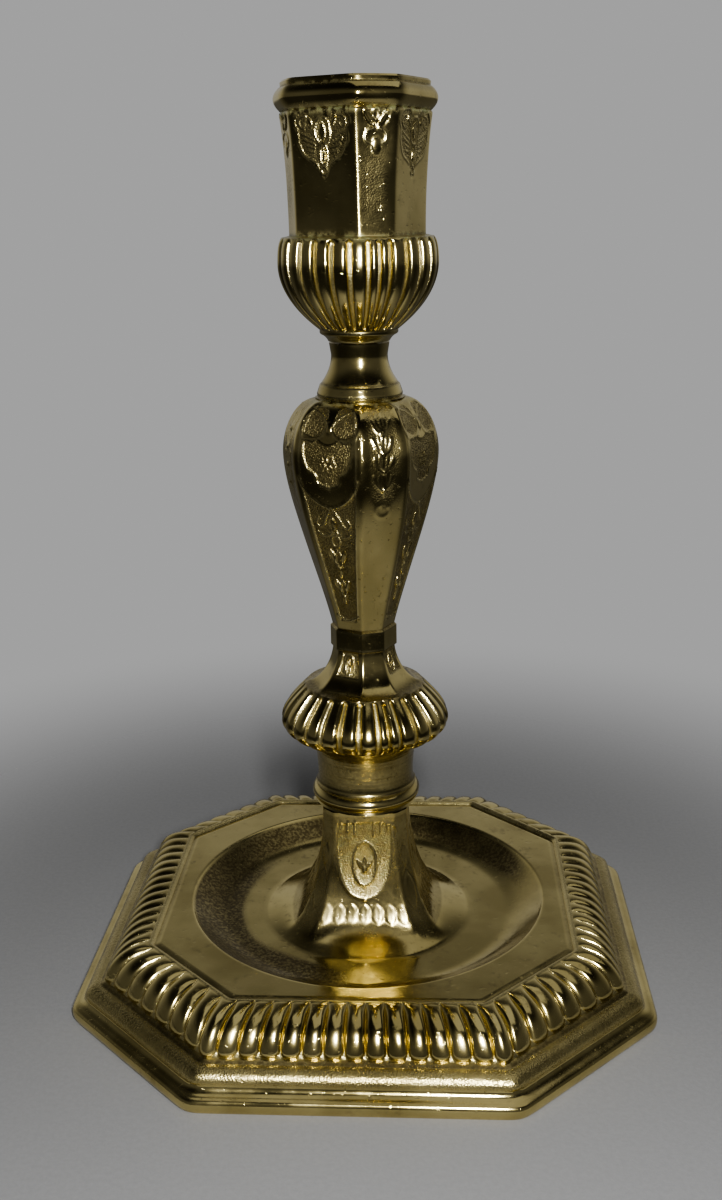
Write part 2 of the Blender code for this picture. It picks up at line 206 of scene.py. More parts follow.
def smoothstep(low: float, high: float, value: np.ndarray) -> np.ndarray:
    """Go smoothly from 0 below low to 1 above high.

    Args:
        low: Where it starts to rise; above high, the step goes down.
        high: Where it is full.
        value: The values to step.

    Returns:
        The step at each value.
    """
    share = np.clip((value - low) / (high - low), 0.0, 1.0)
    return share * share * (3.0 - 2.0 * share)


def waver(angle: np.ndarray, z: np.ndarray, seed: int, size: float) -> np.ndarray:
    """The slight unevenness that casting, filing and polishing leave.

    Args:
        angle: Bearing of each vertex about the axis.
        z: Height of each vertex in metres.
        seed: Picks the pattern.
        size: Largest departure in metres.

    Returns:
        An offset along the radius for each vertex.
    """
    picks = np.random.default_rng(seed)
    total = np.zeros_like(angle)
    for _ in range(9):
        turns = picks.integers(1, 13)
        waves, phase = picks.uniform(-420.0, 420.0), picks.uniform(0.0, math.tau)
        total += picks.uniform(0.3, 1.0) * np.sin(turns * angle + waves * z + phase)
    return size * total / 5.0


# ---------------------------------------------------------------------------------------------
# Finishes
# ---------------------------------------------------------------------------------------------
@dataclass(frozen=True)
class BrassFinish:
    """A brass surface: polished where it stands proud, grainy where it doesn't; its pale layer is
    wear and painted highlight, its dark layer tarnish and painted shade.
    """

    name: str
    tone: tuple[float, float, float] = (0.72, 0.61, 0.28)
    deep: tuple[float, float, float] = (0.52, 0.43, 0.18)
    pale: tuple[float, float, float] = (0.78, 0.69, 0.37)
    # Tarnish colour; the dark layer also uses it for painted shade.
    tarnish_and_shade: tuple[float, float, float] = (0.095, 0.070, 0.034)
    verdigris: tuple[float, float, float] = (0.17, 0.24, 0.12)
    roughness: float = 0.13
    grain_roughness: float = 0.12
    pale_roughness: float = 0.12
    grain_height: float = 0.00013
    scratch: float = 0.5
    turned: float = 0.0

    def build(self) -> bpy.types.Material:
        """Make the material's nodes.

        Returns:
            A material that reads the layers "grain", "dark" and "green".
        """
        material = bpy.data.materials.new(self.name)
        material.use_nodes = True
        return NodeBench(material).brass(self)


class NodeBench:
    """Lays out one material's nodes."""

    def __init__(self, material: bpy.types.Material) -> None:
        """Start from a new material's shader and its output.

        Args:
            material: The material, with its nodes switched on.
        """
        self.material = material
        self.nodes = material.node_tree.nodes
        self.links = material.node_tree.links
        self.shader = self.nodes["Principled BSDF"]
        self.coordinates = self.nodes.new("ShaderNodeTexCoord").outputs["Object"]

    def link(self, source: bpy.types.NodeSocket, target: bpy.types.NodeSocket) -> None:
        """Join two sockets."""
        self.links.new(source, target)

    def layer(self, name: str) -> bpy.types.NodeSocket:
        """Read a vertex layer.

        Args:
            name: The layer's name.

        Returns:
            The layer's value.
        """
        node = self.nodes.new("ShaderNodeAttribute")
        node.attribute_name = name
        return node.outputs["Fac"]

    def mapped(self, scale: tuple[float, float, float],
               turn: tuple[float, float, float] = (0.0, 0.0, 0.0)) -> bpy.types.NodeSocket:
        """Stretch and turn object coordinates.

        Args:
            scale: Stretch along x, y and z.
            turn: Turn about x, y and z, in radians.

        Returns:
            The vector.
        """
        node = self.nodes.new("ShaderNodeMapping")
        node.inputs["Scale"].default_value = scale
        node.inputs["Rotation"].default_value = turn
        self.link(self.coordinates, node.inputs["Vector"])
        return node.outputs["Vector"]

    def noise(self, scale: float, detail: float = 2.0, roughness: float = 0.5,
              vector: bpy.types.NodeSocket | None = None) -> bpy.types.NodeSocket:
        """Lay a cloudy pattern.

        Args:
            scale: Features to the metre.
            detail: Octaves of finer clouds.
            roughness: How strong the finer clouds are.
            vector: Where it is read; object coordinates if left out.

        Returns:
            The pattern, from 0 to 1.
        """
        node = self.nodes.new("ShaderNodeTexNoise")
        node.inputs["Scale"].default_value = scale
        node.inputs["Detail"].default_value = detail
        node.inputs["Roughness"].default_value = roughness
        self.link(vector or self.coordinates, node.inputs["Vector"])
        return node.outputs["Fac"]

    def cells(self, scale: float) -> bpy.types.NodeSocket:
        """Lay a pattern of small cells.

        Args:
            scale: Cells to the metre.

        Returns:
            The distance from the middle of the nearest cell.
        """
        node = self.nodes.new("ShaderNodeTexVoronoi")
        node.inputs["Scale"].default_value = scale
        self.link(self.coordinates, node.inputs["Vector"])
        return node.outputs["Distance"]

    def ramp(self, value: bpy.types.NodeSocket, low: float, high: float,
             to_low: float = 0.0, to_high: float = 1.0) -> bpy.types.NodeSocket:
        """Stretch a value between two limits and clamp it.

        Args:
            value: The value.
            low: Where it starts to change.
            high: Where it stops.
            to_low: What it is at low and below.
            to_high: What it is at high and above.

        Returns:
            The stretched value.
        """
        node = self.nodes.new("ShaderNodeMapRange")
        node.interpolation_type = "SMOOTHSTEP"
        for socket, number in (("From Min", low), ("From Max", high),
                               ("To Min", to_low), ("To Max", to_high)):
            node.inputs[socket].default_value = number
        self.link(value, node.inputs["Value"])
        return node.outputs["Result"]

    def maths(self, operation: str, one: bpy.types.NodeSocket | float,
              two: bpy.types.NodeSocket | float) -> bpy.types.NodeSocket:
        """Combine two values.

        Args:
            operation: The Math node's operation.
            one: The first, a number or a socket.
            two: The second.

        Returns:
            The result.
        """
        node = self.nodes.new("ShaderNodeMath")
        node.operation = operation
        for socket, value in zip(node.inputs, (one, two)):
            if isinstance(value, (int, float)):
                socket.default_value = value
            else:
                self.link(value, socket)
        return node.outputs[0]

    def mix(self, share: bpy.types.NodeSocket, one: object, two: object) -> bpy.types.NodeSocket:
        """Let one colour go over to another.

        Args:
            share: How much of the second.
            one: The first, a colour or a socket.
            two: The second.

        Returns:
            The mixed colour.
        """
        node = self.nodes.new("ShaderNodeMix")
        node.data_type = "RGBA"
        self.link(share, node.inputs["Factor"])
        for socket, colour in ((node.inputs[6], one), (node.inputs[7], two)):
            if isinstance(colour, tuple):
                socket.default_value = (*colour, 1.0)
            else:
                self.link(colour, socket)
        return node.outputs[2]

    def bump(self, height: bpy.types.NodeSocket, distance: float, strength: float = 1.0,
             under: bpy.types.NodeSocket | None = None) -> bpy.types.NodeSocket:
        """Raise a relief, over another where one is given.

        Args:
            height: The relief, from 0 to 1.
            distance: Its height in metres.
            strength: How much of it shows.
            under: The relief that it is laid over.

        Returns:
            The normal.
        """
        node = self.nodes.new("ShaderNodeBump")
        node.inputs["Distance"].default_value = distance
        node.inputs["Strength"].default_value = strength
        self.link(height, node.inputs["Height"])
        if under is not None:
            self.link(under, node.inputs["Normal"])
        return node.outputs["Normal"]

    def brass(self, finish: BrassFinish) -> bpy.types.Material:
        """Lay out the brass.

        Args:
            finish: Its colours and strengths.

        Returns:
            The finished material.
        """
        grain, dark, green = self.layer("grain"), self.layer("dark"), self.layer("green")
        pale = self.layer("pale")
        clouds = self.noise(55.0, 3.0, 0.55)
        specks = self.noise(1500.0, 2.0, 0.6)
        colour = self.mix(self.ramp(clouds, 0.36, 0.68), finish.tone, finish.deep)
        # The pale layer is partly wear and partly painted highlight.
        colour = self.mix(self.maths("MULTIPLY", pale, 0.75), colour, finish.pale)
        cells = self.cells(2900.0)
        pores = self.maths("MULTIPLY", self.ramp(cells, 0.30, 0.62), grain)
        stain = self.ramp(self.noise(240.0, 4.0, 0.65), 0.56, 0.74)
        stain = self.maths("MULTIPLY", stain, 0.38)
        # The dark layer is partly tarnish and dirt and partly painted shade; the colour darkens
        # towards the tarnish colour by it.
        tarnish_and_shade_share = self.maths("MAXIMUM", self.maths("MULTIPLY", dark, 0.92), stain)
        tarnish_and_shade_share = self.maths("MAXIMUM", tarnish_and_shade_share, self.maths("MULTIPLY", pores, 0.75))
        tarnish_and_shade_share = self.maths("MULTIPLY", tarnish_and_shade_share, self.ramp(specks, 0.30, 0.62, 0.55, 1.0))
        colour = self.mix(tarnish_and_shade_share, colour, finish.tarnish_and_shade)
        bloom = self.ramp(self.noise(620.0, 3.0, 0.6), 0.44, 0.60)
        bloom = self.maths("MULTIPLY", green, bloom)
        colour = self.mix(bloom, colour, finish.verdigris)
        self.link(colour, self.shader.inputs["Base Color"])
        self.link(self.maths("SUBTRACT", 1.0, self.maths("MULTIPLY", bloom, 0.8)),
                  self.shader.inputs["Metallic"])
        # Hair scratches run along and across the piece.
        upright = self.ramp(self.noise(1.0, 2.0, 0.5, self.mapped((5200.0, 5200.0, 150.0))),
                            0.66, 0.80)
        slanting = self.ramp(self.noise(1.0, 2.0, 0.5, self.mapped(
            (190.0, 3600.0, 3600.0), (0.5, 0.3, 0.8))), 0.68, 0.82)
        hairs = self.maths("MAXIMUM", upright, slanting)
        rough = self.ramp(self.noise(130.0, 4.0, 0.6), 0.30, 0.75,
                          finish.roughness * 0.75, finish.roughness * 1.6)
        rough = self.maths("ADD", rough, self.maths("MULTIPLY", hairs, 0.10 * finish.scratch))
        rough = self.maths("ADD", rough, self.maths("MULTIPLY", grain, finish.grain_roughness))
        rough = self.maths("ADD", rough, self.maths("MULTIPLY", pale, finish.pale_roughness))
        rough = self.maths("ADD", rough, self.maths("MULTIPLY", tarnish_and_shade_share, 0.20))
        self.link(rough, self.shader.inputs["Roughness"])
        matting = self.maths("MULTIPLY", cells, grain)
        relief = self.bump(matting, -finish.grain_height)
        pits = self.maths("MULTIPLY", self.ramp(self.noise(900.0, 3.0, 0.6), 0.62, 0.75), -1.0)
        relief = self.bump(pits, 0.00003, 1.0, relief)
        relief = self.bump(hairs, -0.000006 * finish.scratch, 1.0, relief)
        if finish.turned:
            lathe = self.noise(1.0, 2.0, 0.6, self.mapped((30.0, 30.0, 6500.0)))
            relief = self.bump(lathe, 0.00002 * finish.turned, 1.0, relief)
        self.link(relief, self.shader.inputs["Normal"])
        return self.material


class Finish(Enum):
    """The candlestick's brasses."""

    FOOT = BrassFinish("brass_of_foot", roughness=0.15)
    STEM = BrassFinish("brass_of_stem")
    SOCKET = BrassFinish("brass_of_socket", roughness=0.12)
    PLAIN = BrassFinish("brass_inside", tone=(0.62, 0.47, 0.20), roughness=0.30, turned=1.0)

    def material(self) -> bpy.types.Material:
        """This brass, made once."""
        return bpy.data.materials.get(self.value.name) or self.value.build()


# ---------------------------------------------------------------------------------------------
# Profiles
# ---------------------------------------------------------------------------------------------
@dataclass(frozen=True)
class Section:
    """How the outside is cut at one height: round, eight-sided, or lobed."""

    facet: float = 0.0      # 0 round, 1 eight-sided
    lobe: float = 0.0       # 1 lobed


ROUND = Section()
FACETED = Section(facet=1.0)
LOBED = Section(lobe=1.0)


class Profile:
    """The outside of a turned piece, drawn upwards in metres."""

    def __init__(self, radius: float, z: float, pitch: float) -> None:
        """Start a profile.

        Args:
            radius: Radius of the first point.
            z: Its height.
            pitch: The step between points.
        """
        self.pitch = pitch
        self.points: list[tuple[float, float]] = [(radius, z)]
        self.sections: list[Section] = [ROUND]

    @property
    def radius(self) -> float:
        """Radius of the last point."""
        return self.points[-1][0]

    @property
    def top(self) -> float:
        """Height of the last point."""
        return self.points[-1][1]

    def add(self, radius: float, z: float, section: Section) -> None:
        """Add one point."""
        self.points.append((radius, z))
        self.sections.append(section)

    def line(self, radius: float, rise: float, section: Section = ROUND) -> None:
        """Draw a straight line in steps of the pitch.

        Args:
            radius: Radius at its end.
            rise: How far up it goes.
            section: How the outside is cut along it.
        """
        (start, base), length = self.points[-1], math.hypot(radius - self.radius, rise)
        steps = max(1, round(length / self.pitch))
        for step in range(1, steps + 1):
            share = step / steps
            self.add(start + share * (radius - start), base + share * rise, section)

    def curve(self, radius: float, rise: float, lean_in: tuple[float, float],
              lean_out: tuple[float, float], section: Section = ROUND) -> None:
        """Draw a Bezier curve.

        Args:
            radius: Radius at its end.
            rise: How far up it goes.
            lean_in: The first handle, in shares of the change in radius and of the rise.
            lean_out: The second handle.
            section: How the outside is cut along it.
        """
        start, base = self.points[-1]
        change = radius - start
        ends = [Vector((start, base, 0.0)),
                Vector((start + lean_in[0] * change, base + lean_in[1] * rise, 0.0)),
                Vector((start + lean_out[0] * change, base + lean_out[1] * rise, 0.0)),
                Vector((radius, base + rise, 0.0))]
        drawn = interpolate_bezier(*ends, 200)
        walked = np.array([(p.x, p.y) for p in drawn])
        self.walk(walked, section)

    def bulge(self, radius: float, rise: float, out: float, section: Section = ROUND) -> None:
        """Draw a half-round swelling.

        Args:
            radius: Radius at its end.
            rise: How far up it goes.
            out: How far it stands out of its chord.
            section: How the outside is cut along it.
        """
        start, base = self.points[-1]
        share = np.linspace(0.0, 1.0, 120)
        swell = out * np.sin(np.pi * share) ** 0.75
        walked = np.column_stack([start + share * (radius - start) + swell, base + share * rise])
        self.walk(walked, section)

    def walk(self, line: np.ndarray, section: Section) -> None:
        """Add a finely drawn line in steps of the pitch.

        Args:
            line: Radius and height of its points.
            section: How the outside is cut along it.
        """
        along = np.concatenate([[0.0], np.cumsum(np.hypot(*np.diff(line, axis=0).T))])
        steps = max(2, round(along[-1] / self.pitch))
        for reach in np.linspace(0.0, along[-1], steps + 1)[1:]:
            self.add(float(np.interp(reach, along, line[:, 0])),
                     float(np.interp(reach, along, line[:, 1])), section)

    def table(self, kind: str) -> np.ndarray:
        """List one number for each point.

        Args:
            kind: "radius", "z", "facet" or "lobe".

        Returns:
            The numbers, from the foot up.
        """
        if kind in ("radius", "z"):
            return np.array(self.points)[:, 0 if kind == "radius" else 1]
        return np.array([getattr(section, kind) for section in self.sections])


def facet_factor(angle: np.ndarray, narrow: np.ndarray, crisp: np.ndarray | float) -> np.ndarray:
    """An eight-sided section with softened ridges, as a share of its corner radius.

    Args:
        angle: Bearing from the middle of a narrow facet, in radians.
        narrow: Angle that a narrow facet takes up, for each vertex.
        crisp: How sharp the ridges are.

    Returns:
        The radius there over the corner radius.
    """
    near, wide = np.cos(narrow / 2), np.cos(math.pi / 4 - narrow / 2)
    total = np.zeros_like(angle)
    for quarter in range(4):
        turn = quarter * math.pi / 2
        total += (np.maximum(np.cos(angle - turn), 0.0) / near) ** crisp
        total += (np.maximum(np.cos(angle - turn - math.pi / 4), 0.0) / wide) ** crisp
    return total ** (-1.0 / crisp)


def lobe_phase(angle: np.ndarray, count: int, seam: float, seed: int) -> np.ndarray:
    """Position among hand-cut lobes: whole numbers are the channels between them.

    Args:
        angle: Bearing in radians.
        count: Lobes all round.
        seam: Bearing of the seam, where each lobe is split in two narrow ones.
        seed: Picks the slight unevenness.

    Returns:
        The running count of lobes at each bearing.
    """
    picks = np.random.default_rng(seed)
    widths = 1.0 + picks.uniform(-0.05, 0.05, count)
    for side in (0, count // 2):
        widths[side], widths[side - 1] = 0.56, 0.56
    edges = np.concatenate([[0.0], np.cumsum(widths)]) * math.tau / widths.sum()
    return np.interp(np.mod(angle - seam, math.tau), edges, np.arange(count + 1.0))


# ---------------------------------------------------------------------------------------------
# Chasing: ornament cut into a flat panel, in millimetres from the panel's middle line
# ---------------------------------------------------------------------------------------------
class Chasing:
    """Relief and matting on one panel. u runs across it and v up it, both in millimetres."""

    def __init__(self, u: np.ndarray, v: np.ndarray) -> None:
        """Start with a plain panel.

        Args:
            u: Millimetres across it, for each vertex.
            v: Millimetres up it.
        """
        self.u, self.v = u, v
        self.height = np.zeros_like(u)
        self.grain = np.zeros_like(u)
        self.dark = np.zeros_like(u)
        self.pale = np.zeros_like(u)

    def both_sides(self, points: list[tuple[float, float]]) -> list[list[tuple[float, float]]]:
        """A line and its mirror image."""
        return [points, [(-u, v) for u, v in points]]

    def distance(self, points: list[tuple[float, float]]) -> np.ndarray:
        """Measure the distance from a line, in millimetres.

        Args:
            points: The line's points.

        Returns:
            The distance for each vertex; 9 wherever it is far.
        """
        given = np.array(points)
        (left, low), (right, high) = given.min(axis=0) - 1.6, given.max(axis=0) + 1.6
        near = (self.u > left) & (self.u < right) & (self.v > low) & (self.v < high)
        u, v = self.u[near], self.v[near]
        best = np.full_like(u, 9.0)
        for (u0, v0), (du, dv) in zip(given[:-1], np.diff(given, axis=0)):
            along = ((u - u0) * du + (v - v0) * dv) / max(du * du + dv * dv, 1e-9)
            along = np.clip(along, 0.0, 1.0)
            best = np.minimum(best, np.hypot(u - u0 - along * du, v - v0 - along * dv))
        far = np.full_like(self.u, 9.0)
        far[near] = best
        return far

    def area(self, corners: list[tuple[float, float]], curved: bool = True,
             soft: float = 0.16) -> np.ndarray:
        """Fill a closed shape.

        Args:
            corners: Its outline.
            curved: Whether the outline is drawn as a curve.
            soft: Half the width of its soft edge.

        Returns:
            1 inside it, 0 outside it.
        """
        closed = [*corners, corners[0]]
        shape = smooth_line(closed) if curved else closed
        inside = np.zeros(self.u.shape, bool)
        for (u0, v0), (u1, v1) in zip(shape, shape[1:]):
            if v0 != v1:
                crossing = (v0 > self.v) != (v1 > self.v)
                inside ^= crossing & (self.u < (u1 - u0) * (self.v - v0) / (v1 - v0) + u0)
        away = self.distance(shape)
        return smoothstep(soft, -soft, np.where(inside, -away, away))

    def stroke(self, points: list[tuple[float, float]], width: float, height: float,
               curved: bool = True) -> None:
        """Raise a line, or with a negative height cut one.

        Args:
            points: The line's points.
            width: Its width.
            height: Its height.
            curved: Whether it is drawn as a curve.
        """
        shape = smooth_line(points) if curved and len(points) > 2 else points
        away = self.distance(shape) / (0.5 * width)
        self.height += height * np.exp(-away ** 2)
        if height < 0:
            self.dark = np.maximum(self.dark, 0.6 * np.exp(-away ** 2))
        else:
            self.grain *= smoothstep(0.5, 1.2, away)
            # A raised line is painted pale, partly wear and partly painted highlight, with painted
            # shade in a thin band along each side.
            self.pale = np.maximum(self.pale, 0.6 * np.exp(-away ** 2))
            self.dark = np.maximum(self.dark * smoothstep(0.4, 1.3, away),
                                   0.40 * np.exp(-((away - 1.7) / 0.6) ** 2))

    def leaf(self, middle: tuple[float, float], half: tuple[float, float], tilt: float,
             height: float, vein: bool = True) -> None:
        """Raise a pointed oval from the ground, with a cut outline.

        Args:
            middle: Its middle.
            half: Half its width and half its length.
            tilt: Its lean in degrees.
            height: Its height.
            vein: Whether it has a vein.
        """
        turn = math.radians(tilt)
        across = ((self.u - middle[0]) * math.cos(turn) + (self.v - middle[1]) * math.sin(turn))
        along = (-(self.u - middle[0]) * math.sin(turn) + (self.v - middle[1]) * math.cos(turn))
        edge = np.abs(across) / half[0] + (along / half[1]) ** 2
        inside = smoothstep(1.05, 0.75, edge)
        self.height += height * inside * (1.0 - 0.55 * np.clip(np.abs(across) / half[0], 0, 1) ** 2)
        self.height -= 0.5 * height * np.exp(-((edge - 1.12) / 0.22) ** 2)
        self.grain *= 1.0 - inside
        self.dark = np.maximum(self.dark, 0.7 * np.exp(-((edge - 1.15) / 0.2) ** 2))
        if vein:
            self.height -= 0.45 * height * np.exp(-(across / 0.16) ** 2) * smoothstep(
                0.8, 0.5, np.abs(along) / half[1])

    def drop(self, middle: tuple[float, float], half: tuple[float, float], height: float) -> None:
        """Raise a round or oval bead from the ground.

        Args:
            middle: Its middle.
            half: Half its width and half its length.
            height: Its height.
        """
        away = np.hypot((self.u - middle[0]) / half[0], (self.v - middle[1]) / half[1])
        self.height += height * np.sqrt(np.clip(1.0 - away ** 2, 0.0, 1.0))
        self.grain *= smoothstep(0.9, 1.1, away)
        self.dark = np.maximum(self.dark, 0.7 * np.exp(-((away - 1.15) / 0.2) ** 2))

    def ring(self, middle: tuple[float, float], radius: float, width: float, height: float) -> None:
        """A raised or sunk ring."""
        away = np.hypot(self.u - middle[0], self.v - middle[1])
        self.height += height * np.exp(-((away - radius) / (0.5 * width)) ** 2)

    def loop(self, middle: tuple[float, float], half: tuple[float, float], height: float) -> None:
        """Raise the outline of an upright oval.

        Args:
            middle: Its middle.
            half: Half its width and half its length.
            height: Its height.
        """
        turns = np.linspace(0.0, math.tau, 25)
        oval = [(middle[0] + half[0] * math.sin(t), middle[1] + half[1] * math.cos(t))
                for t in turns]
        self.stroke(oval, 0.42, height, False)

    def ground(self, inside: np.ndarray, depth: float) -> None:
        """Sink and mat an area; inside is 1 there and 0 elsewhere."""
        self.height -= depth * inside
        self.grain = np.maximum(self.grain, inside)


def smooth_line(points: list[tuple[float, float]]) -> list[tuple[float, float]]:
    """Draw a curve through points, cut into short straight pieces.

    Args:
        points: The points.

    Returns:
        The ends of the pieces.
    """
    given = np.array([points[0], *points, points[-1]], float)
    drawn: list[tuple[float, float]] = []
    for before, start, end, after in zip(given, given[1:], given[2:], given[3:]):
        for share in np.linspace(0.0, 1.0, 6)[:-1]:
            square, cube = share ** 2, share ** 3
            point = 0.5 * (2 * start + (end - before) * share
                           + (2 * before - 5 * start + 4 * end - after) * square
                           + (3 * start - before - 3 * end + after) * cube)
            drawn.append((float(point[0]), float(point[1])))
    drawn.append((float(given[-1][0]), float(given[-1][1])))
    return drawn


# ---------------------------------------------------------------------------------------------
# Hollow castings in two halves: the stem and the socket
# ---------------------------------------------------------------------------------------------
@dataclass
class Relief:
    """What the chaser did to a casting's skin, one number for each vertex."""

    height: np.ndarray
    grain: np.ndarray
    dark: np.ndarray
    green: np.ndarray
    pale: np.ndarray


@dataclass
class BrazedCasting:
    """A hollow casting made as a left and a right half, with its seam in the middle."""

    name: str
    foot_z: float
    twist: float
    finish: Finish
    slot: str
    steps: int = 224
    pitch: float = 0.00028
    seam_gap: float = 0.00002
    crisp: float = 60.0
    lobes: int = 28
    relief: float = 0.0011
    seed: int = 3
    shade_and_dirt_strength: float = 0.7
    # (height, reach) of the dark band under each moulding, partly dirt and partly painted shade,
    # then the heights of the pale edges, partly wear and partly painted highlight, and their
    # reach, all in millimetres from the candlestick's foot.
    shade_and_dirt_bands: tuple[tuple[float, float], ...] = ()
    wear_and_highlight_edges: tuple[float, ...] = ()
    wear_and_highlight_reach: float = 0.2

    def outside(self) -> Profile:
        """The outside, drawn upwards from the casting's own foot."""
        raise NotImplementedError

    def inside(self, top: float) -> list[tuple[float, float]]:
        """(radius, z) down the inside, from the top."""
        raise NotImplementedError

    def narrow(self, z: np.ndarray) -> np.ndarray:
        """Angle of the narrow facets at each height."""
        raise NotImplementedError

    def crispness(self, z: np.ndarray) -> np.ndarray:
        """How sharp the ridges are at each height."""
        return np.full_like(z, self.crisp)

    def chase(self, angle: np.ndarray, z: np.ndarray, radius: np.ndarray) -> Relief:
        """Ornament for every vertex of the outside."""
        raise NotImplementedError

    def lobe_bands(self) -> list[tuple[float, float]]:
        """Lowest and highest z of each lobed band."""
        raise NotImplementedError

    def weather(self, skin: Relief, height: np.ndarray) -> None:
        """Darken a band under each moulding, partly dirt and partly painted shade,
        and pale their edges, partly wear and partly painted highlight.

        Args:
            skin: The casting's skin.
            height: Height of each vertex in millimetres.
        """
        for level, reach in self.shade_and_dirt_bands:
            # Painted shade mixed with dirt: a darker band under each moulding.
            shade_and_dirt = self.shade_and_dirt_strength * np.exp(-((height - level) / reach) ** 2)
            skin.dark = np.maximum(skin.dark, shade_and_dirt)
        for level in self.wear_and_highlight_edges:
            # Painted highlight mixed with wear: the moulding edges are painted pale.
            bright = 0.7 * np.exp(-((height - level) / self.wear_and_highlight_reach) ** 2)
            skin.pale = np.maximum(skin.pale, bright)

    def channel_depth(self, angle: np.ndarray, z: np.ndarray) -> tuple[np.ndarray, np.ndarray]:
        """Depth and matting of the channels between the lobes.

        Args:
            angle: Bearing from the seam's plane.
            z: Height on the casting.

        Returns:
            The share of the relief cut away, and how grainy the skin is.
        """
        phase = lobe_phase(angle, self.lobes, -math.pi / 2, self.seed)
        off_crest = np.abs(2.0 * np.mod(phase, 1.0) - 1.0)
        depth, grain = np.zeros_like(z), np.zeros_like(z)
        for low, high in self.lobe_bands():
            room = np.minimum(z - low, high - z)
            end = np.clip(room / 0.0013, 0.0, 1.0)
            half = 0.66 + 0.34 * (1.0 - np.sqrt(1.0 - (1.0 - end) ** 2))
            crown = 1.0 - np.clip(off_crest / np.maximum(half, 0.05) * 0.84, 0.0, 1.0) ** 3.4
            cut = np.where(room > 0.0, 1.0 - np.sqrt(np.clip(crown, 0.0, 1.0)), 0.0)
            depth = np.maximum(depth, cut * smoothstep(0.0, 0.0009, room))
            grain = np.maximum(grain, smoothstep(0.66, 1.0, depth) * (room > 0.0))
        return depth, grain

    def build(self) -> list[bpy.types.Object]:
        """Make both halves and put them on the stem's body.

        Returns:
            The left half and the right half.
        """
        outline = self.outside()
        lining = self.inside(outline.top)
        made = []
        for word, start in (("left", math.pi / 2), ("right", -math.pi / 2)):
            made.append(self.half(word, start, outline, lining))
        return made

    def half(self, word: str, start: float, outline: Profile,
             lining: list[tuple[float, float]]) -> bpy.types.Object:
        """One half, spun through half a turn from the seam.

        Args:
            word: "left" or "right".
            start: Bearing of the seam that the half starts from.
            outline: The outside.
            lining: The inside, downwards.

        Returns:
            The finished half.
        """
        loop = outline.points + lining + [outline.points[0]]
        flat = np.array([(radius * math.cos(start), radius * math.sin(start), z)
                         for radius, z in loop])
        piece = draw_profile(f"{self.name}_{word}", flat)
        spin(piece, self.steps, math.pi)
        count = len(outline.points)
        row = np.rint(read_layer(piece, "row")).astype(int) % (len(loop) - 1)
        points = points_of(piece)
        angle = np.arctan2(points[:, 1], points[:, 0])
        side = -1.0 if word == "left" else 1.0
        angle = np.where((side < 0) & (angle < 0), angle + math.tau, angle)
        outer = row < count
        radius, z = np.hypot(points[:, 0], points[:, 1]), points[:, 2].copy()
        facet = np.zeros(len(row))
        lobed = np.zeros(len(row))
        facet[outer] = outline.table("facet")[row[outer]]
        lobed[outer] = outline.table("lobe")[row[outer]]
        eight = facet_factor(angle, self.narrow(z), self.crispness(z))
        shaped = radius * (1.0 + facet * (eight - 1.0))
        depth, grain = self.channel_depth(angle, z)
        shaped -= self.relief * depth * lobed
        skin = self.chase(angle, z, shaped)
        shaped += np.where(outer, skin.height + waver(angle, z, self.seed, 0.00004), 0.0)
        turned = angle + self.twist
        x, y = shaped * np.cos(angle) + side * self.seam_gap, shaped * np.sin(angle)
        away = np.hypot(x, y)
        turned = np.arctan2(y, x) + self.twist
        points = np.column_stack([away * np.cos(turned), away * np.sin(turned), z + self.foot_z])
        set_points(piece, points)
        hidden = np.where(outer, 0.0, 0.75)
        write_layer(piece, "grain", np.where(outer, np.maximum(0.5 * grain * lobed, skin.grain),
                                             0.2))
        # Painted highlight: the channels between the lobes are painted pale; the skin's pale adds
        # wear and painted highlights.
        write_layer(piece, "pale", np.where(outer, np.maximum(grain * lobed, skin.pale), 0.0))
        write_layer(piece, "dark", np.maximum(hidden, np.where(outer, skin.dark, 0.0)))
        write_layer(piece, "green", np.where(outer, skin.green, 0.0))
        piece.data.attributes.remove(piece.data.attributes["row"])
        close_and_face_out(piece)
        dress(piece, self.finish, "stem", f"{self.name}_{word}_half")
        return piece


